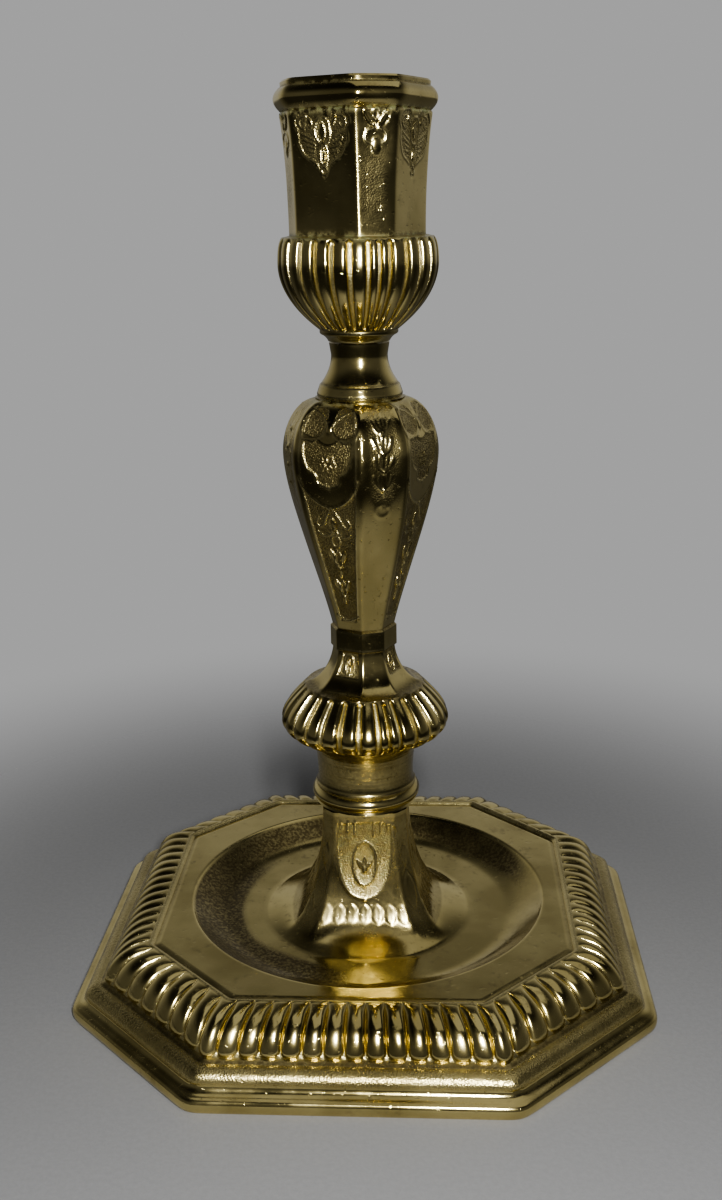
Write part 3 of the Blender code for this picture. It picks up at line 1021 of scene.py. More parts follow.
@dataclass
class Stem(BrazedCasting):
    """The stem: ring, waist, lobed knop, flare, collar, baluster, shoulder and throat."""

    ring: tuple[float, float, float] = (0.0118, 0.0125, 0.0043)
    waist: tuple[float, float] = (0.0111, 0.0113)
    knop: tuple[float, float, float] = (0.0126, 0.0193, 0.0123)
    knop_heights: tuple[float, float] = (0.0046, 0.0084)
    flare_height: float = 0.0085
    collar: tuple[float, float] = (0.0076, 0.0053)
    baluster: tuple[float, float, float] = (0.0071, 0.01725, 0.0395)
    shoulder: tuple[float, float] = (0.0100, 0.0117)
    throat_band: tuple[float, float] = (0.0092, 0.0028)
    throat: tuple[float, float, float] = (0.0061, 0.0065, 0.0085)
    relief: float = 0.0012
    shade_and_dirt_strength: float = 0.75
    # Bands of dirt and painted shade, then edges of wear and painted highlight.
    shade_and_dirt_bands: tuple[tuple[float, float], ...] = (
        (55.3, 0.5), (68.4, 0.8), (77.4, 0.35), (82.3, 0.35), (133.9, 0.35), (44.2, 0.3),
        (136.9, 0.3))
    wear_and_highlight_edges: tuple[float, ...] = (44.0, 55.1, 77.9, 81.9, 134.4, 136.7, 145.2)
    wear_and_highlight_reach: float = 0.16

    def outside(self) -> Profile:
        """Draw the outside, from the ring up to the throat.

        Returns:
            The profile.
        """
        edge, widest, height = self.ring
        out = Profile(edge, 0.0, self.pitch)
        out.line(edge - 0.0003, 0.0004)
        out.bulge(edge - 0.0002, height - 0.0009, widest - edge + 0.0003)
        out.line(edge - 0.0001, 0.0005)
        radius, rise = self.waist
        out.curve(radius, 0.20 * rise, (0.9, 0.1), (1.0, 0.6))
        out.curve(self.knop[0] - 0.0003, 0.72 * rise, (0.0, 0.45), (0.35, 0.85))
        out.line(self.knop[0], 0.02 * rise)
        out.line(self.knop[0] + 0.0001, 0.04 * rise)
        out.line(self.knop[0] - 0.0002, 0.02 * rise)
        out.curve(self.knop[1], self.knop_heights[0], (0.55, 0.08), (1.0, 0.5), LOBED)
        out.curve(self.knop[2] + self.relief, self.knop_heights[1], (0.0, 0.35), (0.6, 0.72), LOBED)
        out.line(self.knop[2], 0.0003, FACETED)
        out.curve(self.baluster[0], self.flare_height, (0.55, 0.16), (0.93, 0.6), FACETED)
        radius, rise = self.collar
        out.line(radius, 0.0004, FACETED)
        out.line(radius, rise - 0.0008, FACETED)
        out.line(self.baluster[0], 0.0004, FACETED)
        out.curve(self.baluster[1], self.baluster[2], (0.30, 0.32), (1.0, 0.76), FACETED)
        out.curve(self.shoulder[0], self.shoulder[1], (0.0, 0.45), (0.4, 0.96), FACETED)
        radius, rise = self.throat_band
        out.line(radius, 0.0004)
        out.line(radius + 0.0001, 0.0006)
        out.line(radius - 0.0005, rise - 0.0010)
        out.line(radius - 0.0009, 0.0004)
        narrowest, top, rise = self.throat
        out.curve(narrowest, 0.70 * rise, (0.40, 0.22), (1.0, 0.55))
        out.line(top, 0.30 * rise)
        return out

    def inside(self, top: float) -> list[tuple[float, float]]:
        """The hollow, down to the screw's plug."""
        return [(0.0042, top), (0.0042, top - 0.0128), (0.0092, 0.0880), (0.0098, 0.0830),
                (0.0045, 0.0500), (0.0045, 0.0370), (0.0060, 0.0300), (0.0110, 0.0210),
                (0.0090, 0.0140), (0.0082, 0.0098), (0.0070, 0.0098), (0.0070, 0.0)]

    def narrow(self, z: np.ndarray) -> np.ndarray:
        """Narrow facets are a little wider in angle low on the baluster."""
        return np.radians(np.interp(z, [0.040, 0.060, 0.082], [39.0, 38.0, 34.5]))

    def lobe_bands(self) -> list[tuple[float, float]]:
        """The knop."""
        foot = self.ring[2] + self.waist[1]
        return [(foot, foot + sum(self.knop_heights))]

    def chase(self, angle: np.ndarray, z: np.ndarray, radius: np.ndarray) -> Relief:
        """Cut ornament in the baluster and the flare, and weather the whole.

        Args:
            angle: Bearing of each vertex from the seam's plane.
            z: Its height on the stem.
            radius: Its radius.

        Returns:
            What was done to each vertex.
        """
        skin = Relief(*(np.zeros_like(z) for _ in range(5)))
        wide = np.mod(angle, math.pi / 2) - math.pi / 4
        slim = np.mod(angle + math.pi / 4, math.pi / 2) - math.pi / 4
        narrow = self.narrow(z)
        height = (z + self.foot_z) / MM
        half_wide = radius * np.sin(math.pi / 4 - narrow / 2) / MM
        on_wide = np.abs(wide) < (math.pi / 4 - narrow / 2)
        panel = Chasing(radius * np.sin(wide) / MM, height)
        self.baluster_panel(panel, half_wide)
        self.flare_panel(panel, half_wide)
        slip = Chasing(radius * np.sin(slim) / MM, height)
        self.narrow_panel(slip)
        for skin_values, wide_values, slim_values in (
                (skin.height, panel.height * MM, slip.height * MM),
                (skin.grain, panel.grain, slip.grain), (skin.dark, panel.dark, slip.dark),
                (skin.pale, panel.pale, slip.pale)):
            skin_values += np.where(on_wide, wide_values, slim_values)
        self.weather(skin, height)
        skin.green += 0.3 * np.exp(-((height - 133.4) / 0.5) ** 2)
        skin.green += 0.15 * skin.dark * (height > 84.0)
        turned = smoothstep(51.6, 52.2, height) * smoothstep(55.0, 54.6, height)
        turned += 0.6 * smoothstep(46.2, 46.6, height) * smoothstep(48.6, 48.2, height)
        # Painted shade: the waist is darkened all round, for the dark it reflects; below, a narrow,
        # darker band at 50.9 mm.
        skin.dark = np.maximum(skin.dark, 0.45 * smoothstep(44.4, 45.2, height)
                               * smoothstep(56.0, 55.0, height))
        skin.dark = np.maximum(skin.dark, 0.6 * np.exp(-((height - 50.9) / 0.5) ** 2))
        skin.height -= 0.00009 * turned * (0.5 - 0.5 * np.cos(height * math.tau / 0.78))
        return skin

    def baluster_panel(self, panel: Chasing, half: np.ndarray) -> None:
        """Chase drapery, a shield and a chain of husks on a matted ground.

        Args:
            panel: A wide facet.
            half: Half the facet's width at each vertex.
        """
        u, v = panel.u, panel.v
        low, high, border = 84.8, 133.0, 0.95
        within = half - border - np.abs(u)
        framed = smoothstep(0.0, 0.25, within) * smoothstep(low - 0.1, low + 0.3, v)
        sweep = [(-7.0, 118.2), (-6.1, 115.9), (-4.4, 113.8), (-2.2, 112.3), (0.0, 111.6)]
        lower = panel.area([*sweep, *[(-x, y) for x, y in reversed(sweep[:-1])],
                            (8.0, 84.0), (0.0, 83.0), (-8.0, 84.0)], False, 0.1)
        panel.ground(framed * lower, 0.13)
        wing = [(-6.5, 128.2), (-6.3, 130.6), (-4.4, 132.4), (-1.9, 132.7), (-0.9, 131.2),
                (-1.0, 129.0), (-2.2, 127.4), (-4.2, 127.0)]
        hem = [(-6.9, 128.6), (-6.2, 126.8), (-4.2, 126.2), (-2.2, 126.7), (-1.1, 128.0),
               (-0.7, 129.8)]
        shield = [(-5.8, 126.0), (-5.9, 123.4), (-4.9, 120.4), (-2.9, 119.0), (-2.6, 117.4),
                  (0.0, 116.4)]
        whole = [*shield, *[(-x, y) for x, y in reversed(shield[:-1])], (3.0, 126.4), (0.0, 125.4),
                 (-3.0, 126.4)]
        panel.ground(panel.area(whole), 0.16)
        for line in panel.both_sides(wing):
            panel.ground(panel.area(line), 0.06)
        for line in (*panel.both_sides(hem), *panel.both_sides(shield)):
            panel.stroke(line, 0.44, 0.12)
        for line in panel.both_sides(sweep):
            panel.stroke(line, 0.50, 0.22)
        # The raised frame round the facet is painted pale, partly wear and partly painted
        # highlight.
        edge = np.exp(-(within / 0.20) ** 2) * (v > low) * (v < high)
        panel.height += 0.10 * edge
        panel.pale = np.maximum(panel.pale, 0.8 * edge)
        panel.stroke([(-2.6, 85.9), (0.0, 84.9), (2.6, 85.9)], 0.5, 0.14)
        for side in (-1.0, 1.0):
            panel.stroke([(side * 0.5, 129.9), (side * 3.0, 131.8), (side * 6.0, 132.8)],
                         0.4, 0.12)
            # The bell that the husks hang from, and its curled ends.
            panel.stroke([(side * 0.4, 111.3), (side * 1.6, 109.6), (side * 2.4, 107.9),
                          (side * 3.5, 107.4), (side * 4.1, 108.4), (side * 3.5, 109.3)],
                         0.46, 0.18)
            panel.stroke([(side * 1.0, 105.6), (side * 2.6, 105.2), (side * 4.0, 106.2)],
                         0.40, 0.12)
        panel.drop((0.0, 128.9), (0.62, 1.25), 0.30)
        for turn in range(6):
            angle = turn * math.pi / 3
            panel.ring((1.25 * math.cos(angle), 121.4 + 1.25 * math.sin(angle)), 0.66, 0.34, 0.16)
        panel.ring((0.0, 117.8), 0.9, 0.34, 0.12)
        self.husks(panel)

    def husks(self, panel: Chasing) -> None:
        """Chase the chain of husks, getting smaller on its way down.

        Args:
            panel: A wide facet.
        """
        panel.leaf((0.0, 108.0), (0.60, 1.7), 0.0, 0.28, False)
        for side in (-1.0, 1.0):
            panel.stroke([(side * 0.2, 106.9), (side * 0.9, 105.9), (side * 1.5, 105.8)], 0.4, 0.18)
        panel.loop((0.0, 104.2), (0.95, 1.35), 0.20)
        level = 102.2
        for size in (1.0, 0.88):
            for side in (-1.0, 1.0):
                panel.leaf((side * 1.30 * size, level - 1.7 * size), (0.62 * size, 1.9 * size),
                           side * -14.0, 0.26)
            panel.loop((0.0, level - 2.5 * size), (0.72 * size, 2.1 * size), 0.20)
            panel.leaf((0.0, level - 5.6 * size), (0.50 * size, 1.5 * size), 0.0, 0.24, False)
            level -= 7.3 * size

    def flare_panel(self, panel: Chasing, half: np.ndarray) -> None:
        """Chase a sunk, matted oblong with one upright husk.

        Args:
            panel: A wide facet.
            half: Half the facet's width at each vertex.
        """
        u, v = panel.u, panel.v
        low, high = 71.9, 77.0
        within = half - 0.8 - np.abs(u)
        inside = smoothstep(0.0, 0.3, within)
        inside *= smoothstep(low - 0.15, low + 0.15, v) * smoothstep(high + 0.15, high - 0.15, v)
        panel.ground(inside, 0.16)
        # The raised edges above and below are painted pale, partly wear and partly painted
        # highlight.
        for level in (low, high):
            edge = np.exp(-((v - level) / 0.2) ** 2) * (within > 0.0)
            panel.height += 0.10 * edge
            panel.pale = np.maximum(panel.pale, 0.7 * edge)
        panel.loop((0.0, 74.3), (0.95, 2.0), 0.26)
        panel.leaf((-0.25, 74.8), (0.26, 0.9), 8.0, 0.22, False)
        panel.leaf((0.25, 73.6), (0.26, 0.9), 8.0, 0.22, False)

    def narrow_panel(self, panel: Chasing) -> None:
        """Chase a worn spray of leaves over a small ring.

        Args:
            panel: A narrow facet.
        """
        inside = panel.area([(-2.6, 133.0), (-3.4, 128.0), (-3.3, 120.0), (-2.2, 114.4),
                             (0.0, 113.2), (2.2, 114.4), (3.3, 120.0), (3.4, 128.0), (2.6, 133.0)],
                            soft=0.9)
        panel.height -= 0.05 * inside
        panel.grain = 0.35 * inside
        for step, lean in enumerate((0.5, -0.4, 0.3, -0.5)):
            level = 130.4 - 3.9 * step
            for side in (-1.0, 1.0):
                root = (0.2 * lean, level - 2.6)
                tip = (side * (2.0 + 0.3 * lean * side), level + 0.4)
                panel.stroke([root, (side * 1.3, level - 1.6), tip], 0.75, 0.13)
                panel.stroke([root, (side * 0.8, level - 0.6), (side * 0.9, level + 0.9)],
                             0.6, 0.07)
        panel.stroke([(0.3, 132.0), (-0.25, 124.0), (0.2, 115.0)], 0.6, 0.09)
        panel.ring((0.1, 111.6), 1.5, 0.9, 0.06)
        panel.ring((0.5, 113.0), 1.0, 0.6, 0.04)
        panel.dark *= 0.6
        panel.pale *= 0.5


@dataclass
class Socket(BrazedCasting):
    """The socket: a lobed bowl, an eight-sided tube and a rolled rim."""

    bowl: tuple[float, float, float, float] = (0.0066, 0.0084, 0.0170, 0.0148)
    bowl_heights: tuple[float, float, float] = (0.0024, 0.0138, 0.0052)
    tube: tuple[float, float, float] = (0.01445, 0.0159, 0.0242)
    rim: tuple[float, float] = (0.0174, 0.0046)
    lip: tuple[float, float] = (0.0157, 0.0011)
    bore: float = 0.0106
    shelf: float = 0.0091
    # Bands of dirt and painted shade, then edges of wear and painted highlight.
    shade_and_dirt_bands: tuple[tuple[float, float], ...] = (
        (148.2, 0.3), (167.4, 0.5), (191.5, 0.4), (196.3, 0.25))
    wear_and_highlight_edges: tuple[float, ...] = (148.0, 167.3, 191.8, 196.2)

    def outside(self) -> Profile:
        """Draw the outside, from the bowl's foot to the lip.

        Returns:
            The profile.
        """
        foot, disc, widest, top = self.bowl
        out = Profile(foot, 0.0, self.pitch)
        out.curve(disc - 0.0002, self.bowl_heights[0] - 0.0009, (0.2, 0.5), (0.7, 0.9))
        out.line(disc, 0.0003)
        out.line(disc, 0.0006)
        out.curve(widest, self.bowl_heights[1], (0.42, 0.2), (1.0, 0.55), LOBED)
        out.curve(top + self.relief, self.bowl_heights[2], (0.0, 0.5), (0.3, 0.9), LOBED)
        out.line(self.tube[0], 0.0003, FACETED)
        out.curve(self.tube[1], self.tube[2] - 0.0004, (0.0, 0.4), (0.45, 0.8), FACETED)
        out.line(self.tube[1] - 0.0002, 0.0004, FACETED)
        out.bulge(self.tube[1], self.rim[1], self.rim[0] - self.tube[1], FACETED)
        out.line(self.lip[0], 0.0002, FACETED)
        out.line(self.lip[0] + 0.0001, self.lip[1] - 0.0004, FACETED)
        out.line(self.lip[0] - 0.0003, 0.0004, FACETED)
        return out

    def inside(self, top: float) -> list[tuple[float, float]]:
        """The candle hole, its shelf and the peg hole."""
        return [(self.bore + 0.0004, top), (self.bore, top - 0.0004), (self.bore, top - 0.012),
                (self.bore, self.shelf), (0.0042, self.shelf), (0.0042, 0.0)]

    def narrow(self, z: np.ndarray) -> np.ndarray:
        """Narrow facets spread towards the top."""
        return np.radians(np.interp(z, [0.0215, 0.046], [30.0, 33.0]))

    def crispness(self, z: np.ndarray) -> np.ndarray:
        """The ridges die away over the rim."""
        return np.interp(z, [0.0450, 0.0462], [self.crisp, 24.0])

    def lobe_bands(self) -> list[tuple[float, float]]:
        """The bowl."""
        foot = self.bowl_heights[0]
        return [(foot, foot + self.bowl_heights[1] + self.bowl_heights[2])]

    def chase(self, angle: np.ndarray, z: np.ndarray, radius: np.ndarray) -> Relief:
        """Cut pendants under the rim on every facet, and weather the whole.

        Args:
            angle: Bearing of each vertex from the seam's plane.
            z: Its height on the socket.
            radius: Its radius.

        Returns:
            What was done to each vertex.
        """
        skin = Relief(*(np.zeros_like(z) for _ in range(5)))
        wide = np.mod(angle, math.pi / 2) - math.pi / 4
        slim = np.mod(angle + math.pi / 4, math.pi / 2) - math.pi / 4
        narrow = self.narrow(z)
        height = (z + self.foot_z) / MM
        on_wide = np.abs(wide) < (math.pi / 4 - narrow / 2)
        panel = Chasing(radius * np.sin(wide) / MM, height)
        self.pendant(panel)
        slip = Chasing(radius * np.sin(slim) / MM, height)
        self.small_pendant(slip, radius * np.sin(narrow / 2) / MM)
        for skin_values, wide_values, slim_values in (
                (skin.height, panel.height * MM, slip.height * MM),
                (skin.grain, panel.grain, slip.grain), (skin.dark, panel.dark, slip.dark),
                (skin.pale, panel.pale, slip.pale)):
            skin_values += np.where(on_wide, wide_values, slim_values)
        below_rim = smoothstep(191.7, 191.3, height)
        for values in (skin.height, skin.grain, skin.dark, skin.pale):
            values *= below_rim
        self.weather(skin, height)
        skin.green += 0.45 * np.exp(-((height - 167.2) / 0.8) ** 2)
        skin.green += 0.40 * np.exp(-((height - 191.2) / 0.6) ** 2)
        skin.green += 0.3 * skin.dark * (height > 168.0)
        return skin

    def pendant(self, panel: Chasing) -> None:
        """Chase a half-disc over a leaf between matted scrolls, with a drop below.

        Args:
            panel: A wide facet.
        """
        scroll = [(-2.6, 191.4), (-5.2, 190.9), (-6.3, 189.0), (-5.6, 187.6), (-5.6, 185.6),
                  (-4.4, 183.0), (-2.6, 181.9), (-1.5, 181.2)]
        whole = [*scroll, (0.0, 178.6), *[(-x, y) for x, y in reversed(scroll)]]
        panel.ground(panel.area(whole), 0.08)
        for line in panel.both_sides(scroll):
            panel.stroke(line, 0.42, 0.10)
        for side in (-1.0, 1.0):
            panel.stroke([(side * 3.6, 190.2), (side * 5.0, 189.8), (side * 5.3, 188.6),
                          (side * 4.4, 187.9), (side * 3.9, 188.7)], 0.42, 0.13)
            for step in range(5):
                root = (side * (1.9 + 0.05 * step), 185.6 - 0.75 * step)
                tip = (side * (4.9 - 0.55 * step), 187.0 - 1.15 * step)
                panel.stroke([root, tip], 0.38, 0.11, False)
            panel.leaf((side * 2.7, 189.2), (0.45, 1.2), side * -30.0, 0.18, False)
        panel.drop((0.0, 191.3), (2.5, 1.6), 0.16)
        panel.ring((0.0, 191.3), 1.3, 0.4, -0.07)
        panel.loop((0.0, 187.3), (1.75, 2.6), 0.17)
        panel.leaf((0.0, 187.3), (0.8, 1.9), 0.0, 0.18)
        panel.loop((0.0, 182.9), (0.85, 2.1), 0.16)
        panel.leaf((0.0, 182.8), (0.35, 1.4), 0.0, 0.16, False)
        panel.loop((0.0, 179.8), (0.62, 0.72), 0.16)
        panel.grain *= 0.75
        panel.pale *= 0.7

    def small_pendant(self, panel: Chasing, half: np.ndarray) -> None:
        """Chase two leaves and an oval drop, over faint matting.

        Args:
            panel: A narrow facet.
            half: Half the facet's width at each vertex.
        """
        for side in (-1.0, 1.0):
            panel.leaf((side * 1.5, 189.4), (0.75, 2.0), side * -34.0, 0.24)
            panel.stroke([(side * 0.4, 187.6), (side * 1.9, 186.9), (side * 2.1, 185.4),
                          (side * 1.1, 184.8)], 0.46, 0.20)
        panel.loop((0.0, 190.2), (0.7, 1.1), 0.20)
        panel.drop((0.0, 184.4), (0.95, 1.5), 0.30)
        faint = smoothstep(0.2, 2.6, half - np.abs(panel.u + 0.6))
        faint *= smoothstep(166.5, 175.0, panel.v) * smoothstep(186.5, 179.0, panel.v)
        panel.grain = np.maximum(panel.grain, 0.30 * faint)
        panel.dark = np.maximum(panel.dark, 0.22 * faint)


# ---------------------------------------------------------------------------------------------
# Foot
# ---------------------------------------------------------------------------------------------
@dataclass
class Ring:
    """One ring of points with a number for each in the layers that the finish reads."""

    points: np.ndarray
    grain: np.ndarray
    dark: np.ndarray
    green: np.ndarray
    pale: np.ndarray


BAND, OVOLO, QUIRK, BEAD, PANEL = -1.0, -2.0, -3.0, -4.0, -5.0


@dataclass
class Foot:
    """The foot: an eight-sided base with a lobed border, a wax well and a hollow pillar."""

    width: float = 0.1300
    long_side: float = 0.0676
    wall: float = 0.0026
    band_height: float = 0.0031
    undercut: float = 0.0006
    ovolo: tuple[float, float, float] = (0.0024, 0.0062, 0.0074)
    border_foot: tuple[float, float] = (0.0072, 0.0080)
    border_top: tuple[float, float] = (0.0168, 0.0152)
    border_bulge: float = 0.0024
    border_relief: float = 0.0012
    panel_z: float = 0.0148
    panel_edge: float = 0.0014
    well: tuple[float, float, float] = (0.0419, 0.0331, 0.0102)
    pillar: tuple[float, float, float] = (0.0245, 0.0120, 0.0395)
    screw_hole: float = 0.0053
    boss_z: float = 0.0265
    lobe_points: tuple[float, ...] = (-0.5, -0.36, -0.24, -0.15, -0.09, -0.04,
                                      0.0, 0.04, 0.09, 0.15, 0.24, 0.36)
    lining: tuple[tuple[float, float], ...] = ((0.0181, 0.0122), (0.0098, 0.0059),
                                               (0.0050, 0.0025), (0.0032, 0.0))
    under_z: float = 0.0122
    pillar_steps: int = 288

    def border_curve(self, share: float) -> tuple[float, float]:
        """Follow the crest line of the border's lobes.

        Args:
            share: How far up the border, from 0 to 1.

        Returns:
            Inset and height.
        """
        (foot, low), (top, high) = self.border_foot, self.border_top
        run, rise = top - foot, high - low
        length = math.hypot(run, rise)
        swell = self.border_bulge * math.sin(math.pi * share) ** 0.8
        return foot + share * run - swell * rise / length, low + share * rise + swell * run / length

    def section(self) -> list[tuple[float, float, float, float]]:
        """Draw the border's section inwards from the edge that it rests on.

        Returns:
            Rows of inset, z, share up the border or moulding, and crispness of the corners.
        """
        rows: list[tuple[float, float, float, float]] = []
        for inset, z in ((self.undercut, 0.0), (0.0002, 0.0005), (0.0, 0.0012), (0.0, 0.0022),
                         (0.0003, 0.0028), (0.0007, 0.0031), (0.0014, 0.0032), (0.0021, 0.0034),
                         (0.0027, 0.0038), (0.0030, 0.0043), (0.0031, 0.0046)):
            rows.append((inset, z, BAND, 95.0))
        foot, top, high = self.ovolo
        start, end = Vector((foot + 0.0006, 0.0047, 0.0)), Vector((top, high, 0.0))
        for point in interpolate_bezier(
                start, Vector((start.x, start.y + 0.6 * (end.y - start.y), 0.0)),
                Vector((start.x + 0.4 * (end.x - start.x), end.y, 0.0)), end, 12)[1:]:
            rows.append((point.x, point.y, OVOLO, 170.0))
        rows += [(0.0065, 0.00745, QUIRK, 260.0), (0.0068, 0.00760, QUIRK, 260.0)]
        for share in np.concatenate([[0.0, 0.02, 0.045, 0.075, 0.11], np.linspace(0.16, 0.84, 11),
                                     [0.89, 0.925, 0.955, 0.98, 1.0]]):
            inset, z = self.border_curve(float(share))
            rows.append((inset, z, float(share), 320.0))
        top_inset, top_z = self.border_top
        for step in range(1, 6):
            share = step / 6
            rows.append((top_inset + share * self.panel_edge,
                         top_z + 0.00035 * math.sin(math.pi * share)
                         + share * (self.panel_z - 0.0003 - top_z), BEAD, 300.0))
        for further, down in ((0.0, 0.0003), (0.0005, 0.0002), (0.0011, 0.0), (0.0015, 0.0)):
            rows.append((top_inset + self.panel_edge + further, self.panel_z - down, PANEL, 400.0))
        return rows

    def corners(self, inset: float) -> np.ndarray:
        """Find the eight corners at an inset.

        Args:
            inset: How far inside the widest line.

        Returns:
            The corners, anticlockwise from the right side.
        """
        half = self.width / 2 - inset
        side = self.long_side / 2 - inset * math.tan(math.pi / 8)
        found = []
        for quarter in range(4):
            turn = np.array(Matrix.Rotation(math.tau * quarter / 4, 2))
            found += [turn @ (half, -side), turn @ (half, side)]
        return np.array(found)

    def ring_places(self) -> tuple[np.ndarray, np.ndarray, np.ndarray]:
        """Place the points of a ring.

        Returns:
            For each point its side, its share along it, and its place on a lobe.
        """
        sides, shares, places = [], [], []
        for side in range(8):
            lobes = 7 if side % 2 else 14
            for lobe in range(lobes):
                for place in self.lobe_points:
                    share = (lobe + 0.5 + place) / lobes
                    sides.append(side)
                    shares.append(share)
                    places.append(place + 0.5 if place < 0 else place - 0.5)
        return np.array(sides), np.array(shares), np.array(places)

    def octagon(self, inset: float, z: float, crisp: float) -> np.ndarray:
        """Draw one ring, its corners softened.

        Args:
            inset: How far inside the widest line.
            z: Its height.
            crisp: How sharp its corners are.

        Returns:
            The ring's points.
        """
        sides, shares, _ = self.ring_places()
        corners = self.corners(inset)
        start, end = corners[sides], corners[(sides + 1) % 8]
        flat = start + (end - start) * shares[:, None]
        bearing = np.arctan2(flat[:, 1], flat[:, 0])
        away = (corners[0][0], float(np.linalg.norm(corners[1] + corners[2]) / 2))
        reach = np.array([np.maximum(np.cos(bearing - turn * math.pi / 4), 0.0) / away[turn % 2]
                          for turn in range(8)])
        most = reach.max(axis=0)
        radius = ((reach / most) ** crisp).sum(axis=0) ** (-1.0 / crisp) / most
        return np.column_stack([radius * np.cos(bearing), radius * np.sin(bearing),
                                np.full(len(flat), z)])

    def lobed(self, ring: np.ndarray, share: float) -> tuple[np.ndarray, np.ndarray]:
        """Cut the channels between the border's lobes into one ring.

        Args:
            ring: The ring at the crest line.
            share: How far up the border it is, from 0 to 1.

        Returns:
            The ring, and how far into a channel each point lies, which sets the grain and a pale
            painted highlight.
        """
        _, _, places = self.ring_places()
        off_crest = 2.0 * np.abs(places)
        length = math.hypot(self.border_top[0] - self.border_foot[0],
                            self.border_top[1] - self.border_foot[1]) * 1.12
        from_foot, from_top = share * length, (1.0 - share) * length
        half = 0.0013
        narrowing = 1.0
        if from_foot < half:
            narrowing = math.sqrt(max(1.0 - ((half - from_foot) / half) ** 2, 0.0))
        reach = off_crest / max(0.95 * narrowing, 0.02)
        crown = np.sqrt(np.clip(1.0 - np.clip(reach, 0.0, 1.0) ** 2.6, 0.0, 1.0))
        rise = crown * min(1.0, 0.35 + narrowing * 0.65)
        shallow = 0.45 + 0.55 * min(1.0, from_foot / 0.0016)
        shallow *= 0.15 + 0.85 * min(1.0, from_top / 0.0024)
        down = self.border_relief * (1.0 - rise) * shallow
        slope = math.atan2(self.border_top[1] - self.border_foot[1],
                           self.border_top[0] - self.border_foot[0])
        lean = slope + math.radians(40.0) * math.cos(math.pi * share)
        cut = ring.copy()
        inward = -ring[:, :2] / np.linalg.norm(ring[:, :2], axis=1)[:, None]
        cut[:, :2] += inward * (down * math.sin(lean))[:, None]
        cut[:, 2] -= down * math.cos(lean)
        fading = min(1.0, 0.3 + from_foot / 0.0016)
        return cut, smoothstep(0.66, 1.0, 1.0 - crown) * fading

    def well_rows(self) -> list[tuple[float, float]]:
        """Draw the well's section from the panel down and across its floor.

        Returns:
            Rows of radius and z.
        """
        rim, floor, floor_z = self.well
        rows = [(rim + 0.0008, self.panel_z), (rim + 0.0004, self.panel_z),
                (rim + 0.0001, self.panel_z - 0.00008)]
        for share in np.linspace(0.0, 1.0, 17):
            fall = math.sin(share * math.pi / 2)
            rows.append((rim - share * (rim - floor) - 0.0001,
                         self.panel_z - 0.0003 - fall * (self.panel_z - 0.0003 - floor_z)))
        for share in np.linspace(0.0, 1.0, 11)[1:-1]:
            rows.append((floor + share * (self.pillar[0] + 0.0004 - floor), floor_z))
        return rows

    def pillar_rows(self) -> list[tuple[float, float]]:
        """Draw the pillar's section from the well's floor up.

        Returns:
            Rows of corner radius and z.
        """
        spread, top, high = self.pillar
        low = self.well[2]
        change, rise = spread - top, high - low
        drawn = interpolate_bezier(
            Vector((spread, low, 0.0)), Vector((spread - 0.68 * change, low + 0.06 * rise, 0.0)),
            Vector((top, low + 0.55 * rise, 0.0)), Vector((top, high, 0.0)), 400)
        line = np.array([(p.x, p.y) for p in drawn])
        along = np.concatenate([[0.0], np.cumsum(np.hypot(*np.diff(line, axis=0).T))])
        reach = np.linspace(0.0, along[-1], 92)
        return list(zip(np.interp(reach, along, line[:, 0]), np.interp(reach, along, line[:, 1])))

    def under_rows(self) -> list[tuple[float, float]]:
        """(radius, z) down the inside of the pillar and out under the well."""
        return [(self.screw_hole, self.pillar[2]), (self.screw_hole, self.boss_z),
                (0.0075, self.boss_z), (0.0092, 0.0235), (0.0108, 0.0185), (0.0135, 0.0135),
                (0.0185, 0.0090), (0.0219, 0.0076), (0.0331, 0.0076), (0.0375, 0.0100),
                (0.0419, 0.0122)]

    def build(self) -> bpy.types.Object:
        """Run up the foot ring by ring, then close it into one casting.

        Returns:
            The finished foot.
        """
        edge = self.tube("foot_edge", self.edge_rings())
        casting = self.tube("foot_casting", self.middle_rings())
        deselect_all()
        edge.select_set(True)
        casting.select_set(True)
        bpy.context.view_layer.objects.active = casting
        bpy.ops.object.join()
        self.bridge_at(casting, self.panel_z)
        self.bridge_at(casting, self.under_z)
        close_and_face_out(casting, 40.0)
        dress(casting, Finish.FOOT, "foot", "foot")
        return casting

    def edge_rings(self) -> list[Ring]:
        """Shape the eight-sided rings: up inside the border's wall, and over it to the panel.

        Returns:
            The rings, in order.
        """
        count = len(self.ring_places()[0])
        plain = np.zeros(count)
        rings = [Ring(self.octagon(inset, z, 60.0), plain + 0.3, plain + 0.8, plain, plain)
                 for inset, z in reversed(self.lining)]
        for inset, z, share, crisp in self.section():
            points = self.octagon(inset, z, crisp)
            grain = pale = dark = plain
            if share >= 0.0:
                points, pale = self.lobed(points, share)
                # Painted highlight: the channels between the lobes are painted pale.
                grain = 0.5 * pale
                # Painted shade: darker where the lobes meet the moulding below.
                dark = plain + 0.35 * math.exp(-(share / 0.03) ** 2)
            elif share == BEAD:
                # Painted highlight: the bead is matted and painted pale.
                grain, pale = plain + 0.3, plain + 0.5
            elif share == PANEL and z < self.panel_z:
                # Painted shade: darker in the dip between the bead and the panel.
                dark = plain + 0.35
            elif share == OVOLO:
                # The ovolo is matted, painted a little pale as a painted highlight, and a little
                # darker all round.
                grain, pale, dark = plain + 0.45, plain + 0.10, plain + 0.15
            elif share == QUIRK:
                # Painted shade: the narrow groove under the lobes is painted dark.
                dark = plain + 0.85
            rings.append(Ring(points, grain, dark, plain, pale))
        return rings

